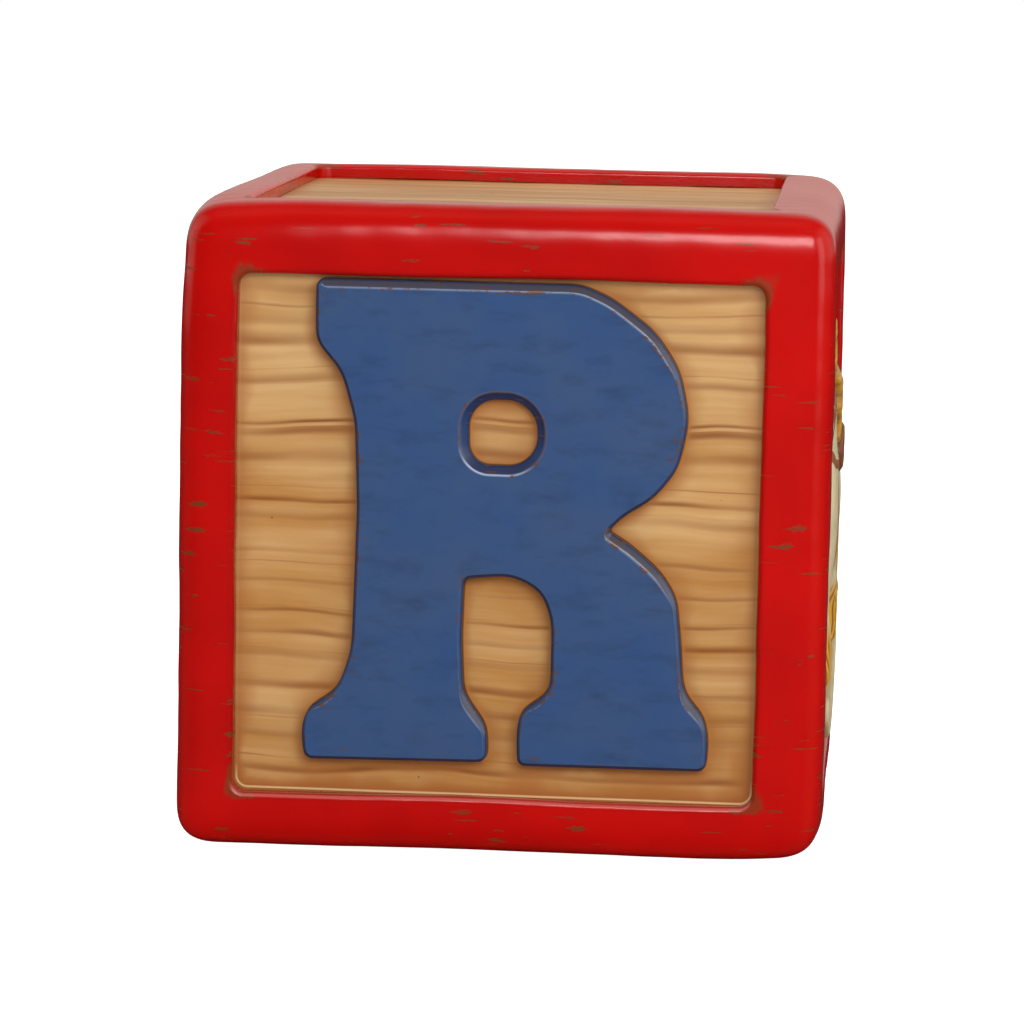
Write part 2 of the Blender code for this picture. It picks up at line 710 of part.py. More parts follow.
def add_horses(panel_material, coat, hair, leather, rocker_paint):
    """The rocking horse and its panel, on the right and the left."""
    fit = horse_fit()
    body_pegs = peg_places(HORSE_PEGS, fit)
    mane_pegs = peg_places(MANE_PEGS, fit)
    tail_pegs = peg_places(TAIL_PEGS, fit)
    rocker_places = rocker_pegs()
    panel = panel_mesh("horse_panel", body_pegs + mane_pegs + tail_pegs + rocker_places)
    mane = fitted(MANE_OUTLINE, fit)
    tail = fitted(TAIL_OUTLINE, fit)
    rocker = rocker_corners()
    pieces = (
        ("horse_body", horse_mesh(body_pegs, (mane, tail, rocker)), coat),
        ("horse_mane", raised_mesh("mane", [(mane, 1)], MANE_PROUD, HAIR_ROUNDOVER, mane_pegs), hair),
        ("horse_tail", raised_mesh("tail", [(tail, 1)], TAIL_PROUD, HAIR_ROUNDOVER, tail_pegs), hair),
        ("horse_saddle", saddle_mesh(), leather),
        (
            "horse_rocker",
            raised_mesh("rocker", [(rocker, 1)], ROCKER_PROUD, HAIR_ROUNDOVER, rocker_places),
            rocker_paint,
        ),
    )
    for face in ("right", "left"):
        turn = face_turn(face)
        place("panel_" + face, panel, panel_material, turn)
        for name, mesh, material in pieces:
            place(name + "_" + face, mesh, material, turn)


def add_base(material, screw_places):
    """The board that closes the underside, set into the lower opening."""
    corners = square_corners(OPENING_HALF - FIT_GAP, OPENING_RADIUS)
    form = lofted([(corners, 1)], [(BASE_DEPTH, 0.0), (RAIL_THICKNESS, 0.0)])
    bmesh.ops.transform(form, matrix=face_turn("bottom"), verts=form.verts)
    mesh = combine(finish_mesh(form, "base_board"), turned_form(screw_places, screw_hole_profile()), "DIFFERENCE")
    place("base_board", cleaned(mesh, "base_board"), material)


def main():
    clear_scene()
    red = paint("red_paint", RED, 0.35)
    blue = paint("blue_paint", BLUE, 0.35)
    pine = paint("varnished_pine", PINE, 0.3)
    beech = paint("beech", BEECH, 0.6)
    plywood = paint("plywood", PLYWOOD, 0.6)
    cream = paint("cream_paint", CREAM, 0.4)
    gold = paint("golden_paint", GOLD, 0.45)
    brown = paint("brown_paint", BROWN, 0.4)
    steel = paint("screw_steel", STEEL, 0.35, 1.0)
    add_rails(red)
    screw_places = add_corner_blocks(beech, steel)
    add_base(plywood, screw_places)
    place("panel_top", panel_mesh("plain_panel", []), pine, face_turn("top"))
    add_letters(pine, blue)
    add_horses(pine, cream, gold, brown, cream)


main()
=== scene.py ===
"""Looks of the display letter block: painted rails, pine panels, raised letters and rocking horses.

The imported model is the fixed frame. Each shown piece is a numpy surface laid on it, in metres, Z up.
A face of the cube has its own coordinates: across, up, and depth below the face. Flat work is made in
those and carried to its face in the mesh, so that every object stays at the origin.
"""

import math
from itertools import chain

import bpy
import numpy as np
from mathutils import Matrix, Vector
from mathutils.geometry import delaunay_2d_cdt


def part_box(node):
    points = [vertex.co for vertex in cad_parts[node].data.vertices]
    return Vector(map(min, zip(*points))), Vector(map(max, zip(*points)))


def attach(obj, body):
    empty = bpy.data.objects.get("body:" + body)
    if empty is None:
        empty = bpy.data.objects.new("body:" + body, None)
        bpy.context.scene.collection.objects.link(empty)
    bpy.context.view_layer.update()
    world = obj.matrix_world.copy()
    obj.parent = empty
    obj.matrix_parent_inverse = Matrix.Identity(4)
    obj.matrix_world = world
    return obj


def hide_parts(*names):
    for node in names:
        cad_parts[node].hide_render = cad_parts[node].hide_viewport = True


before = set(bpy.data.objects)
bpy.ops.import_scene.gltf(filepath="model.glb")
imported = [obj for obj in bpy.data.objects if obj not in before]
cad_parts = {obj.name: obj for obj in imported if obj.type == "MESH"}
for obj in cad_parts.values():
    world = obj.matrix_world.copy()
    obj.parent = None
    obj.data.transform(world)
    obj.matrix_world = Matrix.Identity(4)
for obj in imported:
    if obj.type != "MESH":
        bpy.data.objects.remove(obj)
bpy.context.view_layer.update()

bl_info = {
    "name": "Display letter block",
    "version": (1, 0, 0),
    "blender": (4, 5, 0),
    "location": "3D View > Sidebar > Letter Block",
    "description": "Painted wooden letter block with raised letters and rocking horses",
    "category": "Add Mesh",
}

MM = 0.001

# Sizes that the frame gives
HALF = -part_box("rail_top_front")[0].y
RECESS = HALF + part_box("panel_front")[0].y
PANEL_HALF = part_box("panel_front")[1].x
PANEL_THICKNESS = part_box("panel_front")[1].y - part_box("panel_front")[0].y
LETTER_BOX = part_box("letter_front")
LETTER_PROUD = RECESS - HALF - LETTER_BOX[0].y
CENTRE = np.array((0, 0, HALF))

# Across, up and outward directions of each face
FACES = {
    "front": ((1, 0, 0), (0, 0, 1), (0, -1, 0)),
    "right": ((0, 1, 0), (0, 0, 1), (1, 0, 0)),
    "back": ((-1, 0, 0), (0, 0, 1), (0, 1, 0)),
    "left": ((0, -1, 0), (0, 0, 1), (-1, 0, 0)),
    "top": ((1, 0, 0), (0, 1, 0), (0, 0, 1)),
    "bottom": ((1, 0, 0), (0, -1, 0), (0, 0, -1)),
}

# Outlines as (across, height above the ground, corner radius) in millimetres, anticlockwise
LETTER_OUTLINE = (
    (-171, 531, 8), (-171, 474, 10), (-147, 447, 30), (-134, 402, 45), (-131, 322, 150),
    (-134.5, 190, 70), (-147, 152, 22), (-176, 134, 12), (-180.5, 113, 26), (-177, 87, 9),
    (-8, 89, 9), (-8.5, 122, 20), (-31, 152, 24), (-33.5, 205, 100), (-32, 259.5, 8),
    (12, 263.5, 28), (40, 250, 24), (49.5, 222, 34), (49.5, 155, 16), (21, 138, 14),
    (19, 112, 40), (20.5, 87, 7), (193, 87.5, 8), (195, 114, 34), (191, 138, 22),
    (171, 158, 28), (167.5, 205, 80), (163, 247, 34), (147, 271, 44), (120, 294, 70),
    (99, 307, 3), (114, 322, 34), (139, 337, 28), (161, 364, 34), (171, 410, 60),
    (161, 456, 64), (138, 490, 56), (99, 519, 56), (71, 531, 22),
)
LETTER_COUNTER = ((-29.5, 364.0, 20), (33, 363.5, 27), (33, 424.5, 29), (-30.5, 424, 25))
HORSE_OUTLINE = (
    (112, 354, 44), (30, 340, 120), (-50, 356, 40), (-80, 404, 70), (-92, 450, 50),
    (-103, 482, 14), (-112, 513, 7), (-127, 487, 14), (-147, 470, 30), (-178, 424, 50),
    (-204, 400, 16), (-198, 374, 15), (-176, 370, 16), (-152, 392, 22), (-141, 389, 14), (-139, 348, 50),
    (-154, 304, 44), (-136, 262, 30), (-174, 222, 20), (-187, 160, 40), (-187, 132, 6),
    (-149, 116, 6), (-146, 158, 20), (-136, 202, 26), (-92, 232, 30), (-40, 227, 120),
    (40, 225, 90), (92, 214, 24), (110, 176, 40), (125, 106, 6), (162, 118, 6),
    (163, 166, 16), (150, 214, 26), (164, 262, 60), (160, 322, 46),
)
MANE_OUTLINE = (
    (-88, 496, 9), (-106, 478, 9), (-104, 452, 14), (-121, 432, 9), (-102, 420, 14),
    (-110, 398, 9), (-86, 390, 14), (-92, 368, 9), (-70, 368, 14), (-55, 360, 7),
    (-52, 386, 20), (-58, 426, 50), (-70, 466, 40),
)
SADDLE_OUTLINE = (
    (78, 335, 12), (72, 373, 12), (52, 369, 14), (16, 350, 50), (-16, 366, 12), (-30, 377, 8),
    (-44, 352, 14), (-34, 333, 12), (16, 329, 80),
)
TAIL_OUTLINE = (
    (142, 342, 12), (162, 326, 24), (174, 304, 50), (178, 262, 70), (176, 206, 40),
    (184, 168, 8), (193, 186, 12), (204, 158, 9), (217, 196, 50), (224, 250, 80),
    (218, 308, 60), (200, 354, 34), (168, 372, 24), (134, 362, 10),
)

# Corners rubbed rounder than the rest: direction from the middle, depth and reach
WORN_CORNERS = (
    ((-1, -1, 1), 11, 72), ((1, -1, -1), 6, 60), ((1, -1, 1), 2, 60),
    ((1, 1, 1), 5, 70), ((-1, 1, 1), 1.5, 80), ((-1, 1, -1), 5, 80), ((1, 1, -1), 3, 70),
    ((-1, -1, -1), -2.5, 150),
)

# Fineness of the surfaces
OUTLINE_STEP = 2 * MM
ARC_PIECES = 3
ROOM_SHARE = 0.48
RING_SHARE = 0.985
GRID_SHARE = 0.55
SHARP_ANGLE = math.radians(35)
RELIEF_SHARP = math.radians(60)
DISTANCE_BATCH = 1500
SWELL_ROUNDS = 700
WALL_LEVELS = 3

# Waves of hand-shaped work as (length, amount, how many), the rails' amounts as shares of their waviness,
# and the random draws that the waves start from
RAIL_WAVES = ((300 * MM, 1.0, 4), (100 * MM, 0.35, 4))
DENT_LENGTH = 35 * MM
DENT_COUNT = 6
PANEL_WAVES = ((120 * MM, 0.35 * MM, 4), (30 * MM, 0.08 * MM, 5))
LETTER_WAVES = ((160 * MM, 0.3 * MM, 3),)
RAIL_DRAW = 11
LETTER_DRAW = 23
PANEL_DRAW = 40


def smooth_step(low, high, value):
    """0 below low, 1 above high, and 3t^2 - 2t^3 between them."""
    share = np.clip((value - low) / (high - low), 0, 1)
    return share * share * (3 - 2 * share)


def colour(text):
    """An sRGB hex value as linear red, green, blue and alpha."""
    values = [int(text[place : place + 2], 16) / 255 for place in (1, 3, 5)]
    linear = [value / 12.92 if value <= 0.04045 else ((value + 0.055) / 1.055) ** 2.4 for value in values]
    return (*linear, 1.0)


def on_face(face, across, up, depth):
    """Points of a face: the cube's centre, plus across and up in the face, plus outward to depth below it."""
    right, top, out = (np.array(direction, float) for direction in FACES[face])
    across, up, depth = np.broadcast_arrays(across, up, depth)
    outward = HALF - depth
    return CENTRE + across[..., None] * right + up[..., None] * top + outward[..., None] * out


def new_mesh(name, points, *face_sets):
    """A mesh from points and arrays of faces, each array holding faces with the same number of corners."""
    corners = np.concatenate([faces.ravel() for faces in face_sets]).astype(np.int32)
    counts = np.concatenate([np.full(len(faces), faces.shape[1]) for faces in face_sets])
    starts = np.concatenate(([0], np.cumsum(counts)[:-1])).astype(np.int32)
    mesh = bpy.data.meshes.new(name)
    mesh.vertices.add(len(points))
    mesh.vertices.foreach_set("co", np.asarray(points, np.float32).ravel())
    mesh.loops.add(len(corners))
    mesh.loops.foreach_set("vertex_index", corners)
    mesh.polygons.add(len(counts))
    mesh.polygons.foreach_set("loop_start", starts)
    mesh.update(calc_edges=True)
    mesh.shade_smooth()
    return mesh


def store(mesh, name, values):
    """Keeps a number, or a vector of three, for each vertex, for the materials to read."""
    values = np.asarray(values, np.float32)
    kind, field = ("FLOAT", "value") if values.ndim == 1 else ("FLOAT_VECTOR", "vector")
    attribute = mesh.attributes.new(name, kind, "POINT")
    attribute.data.foreach_set(field, values.ravel())


def add_piece(name, mesh, material, slot, *nodes):
    """A piece of the object that rides on its body and stands for the CAD nodes it replaces."""
    piece = bpy.data.objects.new(name, mesh)
    bpy.context.scene.collection.objects.link(piece)
    mesh.materials.append(material)
    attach(piece, "root")
    if nodes:
        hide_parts(*nodes)
    return piece


def grid_faces(rows, columns):
    """Quads between neighbouring rows and columns of a grid of points stored row by row."""
    first = np.arange(rows - 1)[:, None] * columns + np.arange(columns - 1)[None, :]
    first = first.ravel()
    return np.stack((first, first + 1, first + columns + 1, first + columns), axis=1)


class Ripple:
    """The slow waves of hand-shaped work: a sum of sines over space, the same on pieces that meet.

    Each wave moves a point along its own direction by amount * sin(k . p + phase). Each worn corner c
    draws points toward the middle by amount * exp(-|p - c|^2 / size^2)."""

    def __init__(self, seed, waves, worn=()):
        chance = np.random.default_rng(seed)
        self.parts = []
        for length, amount, count in waves:
            for turn in range(count):
                heading = chance.normal(size=3)
                along = chance.normal(size=3)
                k = heading / np.linalg.norm(heading) * 2 * math.pi / (length * chance.uniform(0.75, 1.3))
                along *= amount / math.sqrt(count) / np.linalg.norm(along)
                self.parts.append((k, along, chance.uniform(0, 2 * math.pi)))
        self.worn = [(np.array(corner, float), amount, size) for corner, amount, size in worn]

    def move(self, points):
        """The points after every wave and every worn corner."""
        moved = points.copy()
        for k, along, phase in self.parts:
            moved += np.sin(points @ k + phase)[..., None] * along
        for corner, amount, size in self.worn:
            away = points - corner
            share = np.exp(-(away**2).sum(-1) / size**2)
            moved -= (amount * share)[..., None] * corner / np.linalg.norm(corner)
        return moved

    def turn(self, points, normals):
        """The normals after the same moves: n minus each move's slope carried back along it."""
        turned = normals.copy()
        for k, along, phase in self.parts:
            turned -= (np.cos(points @ k + phase) * (normals @ along))[..., None] * k
        for corner, amount, size in self.worn:
            away = points - corner
            share = np.exp(-(away**2).sum(-1) / size**2)
            inward = normals @ corner / np.linalg.norm(corner)
            turned -= (2 * amount * share * inward / size**2)[..., None] * away
        return turned / np.linalg.norm(turned, axis=-1, keepdims=True)


def rounded(corners):
    """A closed outline in metres about the middle of its face, its corners rounded into arcs.

    An arc's radius is the wanted one, or what the shorter side beside it leaves room for. Straight runs
    and arcs are cut into lengths of about one step."""
    data = np.array(corners, float) * MM
    here = data[:, :2] - (0, HALF)
    before = here - np.roll(here, 1, axis=0)
    after = np.roll(here, -1, axis=0) - here
    room = np.minimum(np.linalg.norm(before, axis=1), np.linalg.norm(after, axis=1))
    inward = before / np.linalg.norm(before, axis=1)[:, None]
    onward = after / np.linalg.norm(after, axis=1)[:, None]
    turn = np.arctan2(inward[:, 0] * onward[:, 1] - inward[:, 1] * onward[:, 0], (inward * onward).sum(1))
    slope = np.tan(np.abs(turn) / 2)
    radius = np.minimum(data[:, 2], ROOM_SHARE * room / np.maximum(slope, 1e-6))
    towards = np.stack((-inward[:, 1], inward[:, 0]), axis=1) * np.sign(turn)[:, None]
    centre = here - inward * (radius * slope)[:, None] + towards * radius[:, None]
    first = np.arctan2(-towards[:, 1], -towards[:, 0])
    arcs = []
    for index, sweep in enumerate(turn):
        count = max(ARC_PIECES, math.ceil(radius[index] * abs(sweep) / OUTLINE_STEP))
        angles = first[index] + sweep * np.linspace(0, 1, count + 1)
        arcs.append(centre[index] + radius[index] * np.stack((np.cos(angles), np.sin(angles)), axis=1))
    points = np.vstack(arcs)
    ahead = np.roll(points, -1, axis=0) - points
    counts = np.maximum(1, np.ceil(np.linalg.norm(ahead, axis=1) / OUTLINE_STEP - 0.2)).astype(int)
    owner = np.repeat(np.arange(len(points)), counts)
    first_of_side = np.repeat(np.cumsum(counts) - counts, counts)
    share = (np.arange(counts.sum()) - first_of_side) / counts[owner]
    return points[owner] + share[:, None] * ahead[owner]


def crescent(centre_height, radius, width, span):
    """A closed outline between two arcs about one centre, with half-round ends, anticlockwise."""
    reach = math.asin(span / 2 / radius)
    angles = np.linspace(-reach, reach, math.ceil(2 * reach * radius / OUTLINE_STEP))
    rays = np.stack((np.sin(angles), -np.cos(angles)), axis=1)
    outer = radius * rays + (0, centre_height)
    inner = (radius - width) * rays[::-1] + (0, centre_height)
    middle = radius - width / 2
    spread = np.linspace(0, math.pi, math.ceil(width * 1.57 / OUTLINE_STEP) + 1)[1:-1]
    ends = []
    for angle in (reach, -reach):
        centre = np.array((middle * math.sin(angle), centre_height - middle * math.cos(angle)))
        out = np.array((math.sin(angle), -math.cos(angle))) * math.copysign(1, angle)
        side = np.array((math.cos(angle), math.sin(angle))) * math.copysign(1, angle)
        ends.append(centre + width / 2 * (np.cos(spread)[:, None] * out + np.sin(spread)[:, None] * side))
    return np.vstack((outer, ends[0], inner, ends[1]))


def outline_distance(points, loops):
    """Distance from each point to the nearest side of closed loops, above zero inside and below outside.

    The loops' points stand close together, so the nearest side is one of the two at the nearest point.
    A point is inside when a ray from it crosses the loops an odd number of times."""
    start = np.vstack(loops)
    end = np.vstack([np.roll(loop, -1, axis=0) for loop in loops])
    before = np.vstack([np.roll(loop, 1, axis=0) for loop in loops])
    side = end - start
    rise = np.where(np.abs(side[:, 1]) < 1e-12, 1e-12, side[:, 1])
    lean = side[:, 0] / rise
    foot = start[:, 0] - lean * start[:, 1]
    square = (start**2).sum(1)
    result = []
    for first in range(0, len(points), DISTANCE_BATCH):
        batch = points[first : first + DISTANCE_BATCH]
        nearest = (square - 2 * batch @ start.T).argmin(1)
        ahead = side_distance(batch, start[nearest], end[nearest])
        behind = side_distance(batch, before[nearest], start[nearest])
        up = batch[:, 1:]
        crossed = ((start[:, 1] > up) != (end[:, 1] > up)) & (batch[:, :1] < foot + lean * up)
        result.append(np.minimum(ahead, behind) * np.where(crossed.sum(1) % 2 == 1, 1, -1))
    return np.concatenate(result)


def side_distance(points, start, end):
    """Distance from each point to its own straight side."""
    side = end - start
    offset = points - start
    share = np.clip((offset * side).sum(1) / np.maximum((side**2).sum(1), 1e-18), 0, 1)
    return np.sqrt(((offset - share[:, None] * side) ** 2).sum(1))


def path_distance(points, path):
    """Distance in metres from each point to an open path drawn in millimetres."""
    line = np.array(path, float) * MM - (0, HALF)
    start = line[:-1]
    side = line[1:] - start
    offset = points[:, None] - start[None]
    share = np.clip((offset * side).sum(2) / (side**2).sum(1), 0, 1)
    return np.sqrt(((offset - share[..., None] * side) ** 2).sum(2).min(1))


def bump(points, across, height, size):
    """A round swelling, 1 at its middle and falling as exp(-(r / size)^2)."""
    middle = np.array((across, height)) * MM - (0, HALF)
    return np.exp(-((points - middle) ** 2).sum(1) / (size * MM) ** 2)


def left_normals(loop):
    """Unit directions to the left of a closed loop's path at each of its points."""
    along = np.roll(loop, -1, axis=0) - np.roll(loop, 1, axis=0)
    left = np.stack((-along[:, 1], along[:, 0]), axis=1)
    return left / np.linalg.norm(left, axis=1)[:, None]


def flat_triangles(points, loops, edges):
    """Triangles over the area inside the loops, and where each given point went."""
    found, _, faces, origins, _, _ = delaunay_2d_cdt(list(map(Vector, points)), edges, [], 0, 1e-7)
    found = np.array(found)
    place = np.zeros(len(points), int)
    place[list(chain(*origins))] = np.repeat(np.arange(len(found)), list(map(len, origins)))
    triangles = np.array(faces)
    middle = found[triangles].mean(axis=1)
    triangles = triangles[outline_distance(middle, loops) > 0]
    first, second, third = (found[triangles[:, corner]] for corner in range(3))
    area = np.cross(second - first, third - first)
    triangles = triangles[np.abs(area) > 1e-12]
    area = area[np.abs(area) > 1e-12]
    triangles[area < 0] = triangles[area < 0][:, ::-1]
    return found, triangles, place


def inflated(triangles, points, fixed):
    """How far a skin over the area swells: the root of u, where u less the mean of its neighbours is
    constant. That root is a half circle across a strip and a dome over a disc."""
    ends = np.vstack((triangles[:, [0, 1]], triangles[:, [1, 2]], triangles[:, [2, 0]]))
    ends = np.unique(np.sort(ends, axis=1), axis=0)
    weight = 1 / np.maximum(((points[ends[:, 0]] - points[ends[:, 1]]) ** 2).sum(1), 1e-10)
    total = np.bincount(ends.ravel(), np.repeat(weight, 2), minlength=len(points))
    count = np.bincount(ends.ravel(), minlength=len(points))
    source = np.where(fixed, 0, 0.5 * count / np.maximum(total, 1e-9))
    skin = np.zeros(len(points))
    for turn in range(SWELL_ROUNDS):
        pulled = np.bincount(ends[:, 0], weight * skin[ends[:, 1]], minlength=len(points))
        pulled += np.bincount(ends[:, 1], weight * skin[ends[:, 0]], minlength=len(points))
        skin = np.where(fixed, 0, pulled / np.maximum(total, 1e-9) + source)
    return np.sqrt(np.maximum(skin, 0))


def relief(loops, rings, spacing, shape, root):
    """A raised piece cut to its outline: rings of points just inside the outline, an even grid further in,
    all joined into triangles. shape(points, distance, swell) gives their height above the panel and the
    numbers kept for the materials. Walls go down to root below the panel's face, onto a flat back.

    A ring's points are kept where they lie nearly the whole offset inside. relief_mesh lays what comes
    back on a face."""
    loops = [oriented(loop, index == 0) for index, loop in enumerate(loops)]
    edge = np.vstack(loops)
    inner = []
    for offset in rings:
        for loop in loops:
            ring = loop + left_normals(loop) * offset
            inner.append(ring[outline_distance(ring, loops) > RING_SHARE * offset])
    low, high = edge.min(0), edge.max(0)
    across, up = np.meshgrid(np.arange(low[0], high[0], spacing), np.arange(low[1], high[1], spacing))
    across[::2] += spacing / 2
    grid = np.stack((across.ravel(), up.ravel()), axis=1)
    inner.append(grid[outline_distance(grid, loops) > rings[-1] + GRID_SHARE * spacing])
    turns = [start + np.arange(len(loop)) for loop, start in zip(loops, loop_starts(loops))]
    edges = np.vstack([np.stack((turn, np.roll(turn, -1)), axis=1) for turn in turns]).tolist()
    points, triangles, place = flat_triangles(np.vstack([edge, *inner]), loops, edges)
    rim = place[: len(edge)]
    distance = np.maximum(outline_distance(points, loops), 0)
    on_edge = np.zeros(len(points), bool)
    on_edge[rim] = True
    distance[on_edge] = 0
    lift, marks = shape(points, distance, inflated(triangles, points, on_edge))
    rows = [rim] + [len(points) + row * len(edge) + np.arange(len(edge)) for row in range(WALL_LEVELS)]
    quads = [
        np.stack((upper[turn], lower[turn], np.roll(lower[turn], -1), np.roll(upper[turn], -1)), axis=1)
        for upper, lower in zip(rows[:-1], rows[1:])
        for turn in turns
    ]
    flat_points, back, back_place = flat_triangles(edge, loops, edges)
    back_rows = np.zeros(len(flat_points), int)
    back_rows[back_place] = rows[-1]
    below = np.arange(1, WALL_LEVELS + 1) / WALL_LEVELS
    owner = np.concatenate((np.arange(len(points)), np.tile(rim, WALL_LEVELS)))
    share = np.concatenate((np.zeros(len(points)), np.repeat(below, len(edge))))
    marks = {name: values[owner] for name, values in marks.items()}
    marks["edge"] = distance[owner] / MM
    marks["below"] = share
    return {
        "flat": points[owner],
        "lift": lift[owner] * (1 - share) - root * share,
        "faces": (triangles, np.vstack(quads), back_rows[back][:, ::-1]),
        "marks": marks,
    }


def loop_starts(loops):
    """Where each loop's first point stands when the loops follow each other."""
    return np.concatenate(([0], np.cumsum([len(loop) for loop in loops])[:-1])).astype(int)


def relief_mesh(name, face, made):
    """The mesh of a relief on a face of the cube."""
    flat = made["flat"]
    mesh = new_mesh(name, on_face(face, flat[:, 0], flat[:, 1], RECESS - made["lift"]), *made["faces"])
    mesh.set_sharp_from_angle(angle=RELIEF_SHARP)
    for mark, values in made["marks"].items():
        store(mesh, mark, values)
    return mesh


def oriented(loop, outer):
    """The loop turned anticlockwise if it is the outer one and clockwise if it is a hole."""
    after = np.roll(loop, -1, axis=0)
    area = (loop[:, 0] * after[:, 1] - loop[:, 1] * after[:, 0]).sum()
    return loop if (area > 0) == outer else loop[::-1]


# Rails

WALL_ROWS = 4
ROUNDOVER_ROWS = 7
FLAT_ROWS = 11
EDGE_ROWS = 14
STRAIGHT_COLUMNS = 190
ARC_COLUMNS = 9
RAIL_SKIN = 34 * MM
GROOVE_FLOOR = 50 * MM
GROOVE_SPARE = 0.3 * MM


def rail_section(sizes):
    """Half of a rail's section, from its hidden inner corner to the crest of its edge, as rows of
    inset w, depth, ring radius, and the part of the normal that points outward.

    The opening's edge turns over a quarter circle. The outer edge is left to the rounded box."""
    wall = np.linspace(RECESS - GROOVE_SPARE, sizes.roundover, WALL_ROWS)
    turn = np.linspace(0, math.pi / 2, ROUNDOVER_ROWS)[1:]
    width, radius = sizes.width, sizes.opening_radius
    flat = np.linspace(width - sizes.roundover, sizes.edge_radius, FLAT_ROWS)[1:]
    slant = np.linspace(0, math.pi / 4, EDGE_ROWS)[1:]
    groove_far = RECESS + PANEL_THICKNESS + GROOVE_SPARE
    hidden = np.array(
        [
            (RAIL_SKIN, RAIL_SKIN, 0, 0),
            (width, RAIL_SKIN, radius, 0),
            (width, groove_far, radius, 0),
            (GROOVE_FLOOR, groove_far, 0, 0),
            (GROOVE_FLOOR, RECESS - GROOVE_SPARE, 0, 0),
        ]
    )
    walls = np.stack((0 * wall + width, wall, 0 * wall + radius, 0 * wall), axis=1)
    over = sizes.roundover * (1 - np.cos(turn))
    sunk = sizes.roundover * (1 - np.sin(turn))
    rounds = np.stack((width - over, sunk, radius + over, np.sin(turn)), axis=1)
    share = (flat - sizes.edge_radius) / (width - sizes.roundover - sizes.edge_radius)
    flats = np.stack((flat, 0 * flat, share * (radius + sizes.roundover), 0 * flat + 1), axis=1)
    outer = sizes.edge_radius * (1 - np.tan(slant))
    edges = np.stack((outer, 0 * outer, 0 * outer, 0 * outer + 1), axis=1)
    return len(hidden), np.vstack((hidden, walls, rounds, flats, edges))


def rail_columns(sizes):
    """Where along a ring each column stands: 0 in the middle and 1 on the mitre. The arc has even steps."""
    straight = HALF - sizes.width - sizes.opening_radius
    arc = sizes.opening_radius * np.linspace(0, math.pi / 4, ARC_COLUMNS + 1)[1:]
    places = np.concatenate((np.linspace(-straight, straight, STRAIGHT_COLUMNS), straight + arc))
    places = np.concatenate((-(straight + arc)[::-1], places))
    return places / places[-1]


def half_rail(sizes, rows, columns):
    """The rows of half a rail as (along, inset, depth) with the matching normals.

    A ring is a square with rounded corners, and a column's share of its length gives x; past the straight
    part it turns by the angle x / R. Rows of the outer edge are the flat square's points drawn onto the
    surface |x|^n + |y|^n + |z|^n = R^n round the box inset by R, whose normal is the slope of that sum."""
    inset, depth, radius, outward = (rows[:, place][:, None] for place in range(4))
    reach = HALF - inset
    length = reach - radius + radius * math.pi / 4
    x = columns[None] * length
    angle = np.clip((np.abs(x) - (reach - radius)) / np.maximum(radius, 1e-9), 0, math.pi / 4)
    angle = np.where(radius > 0, angle, 0)
    along = np.where(radius > 0, np.minimum(np.abs(x), reach - radius) + radius * np.sin(angle), np.abs(x))
    along = np.sign(x) * along
    across = inset + radius * (1 - np.cos(angle))
    points = np.stack((along, HALF - across, HALF - depth + 0 * along), axis=-1)
    side = np.sqrt(np.maximum(1 - outward**2, 0))
    normals = np.stack(
        (-np.sign(x) * np.sin(angle) * side, -np.cos(angle) * side, outward + 0 * along), axis=-1
    )
    core = np.clip(points, sizes.edge_radius - HALF, HALF - sizes.edge_radius)
    away = points - core
    power = sizes.edge_fullness
    gap = (np.abs(away) ** power).sum(-1, keepdims=True) ** (1 / power)
    outer = (inset < sizes.edge_radius - 1e-9)[..., None] & (depth < 1e-9)[..., None]
    away = away / np.maximum(gap, 1e-12)
    slope = np.sign(away) * np.abs(away) ** (power - 1)
    slope /= np.maximum(np.linalg.norm(slope, axis=-1, keepdims=True), 1e-12)
    points = np.where(outer, core + sizes.edge_radius * away, points)
    return points, np.where(outer, slope, normals)


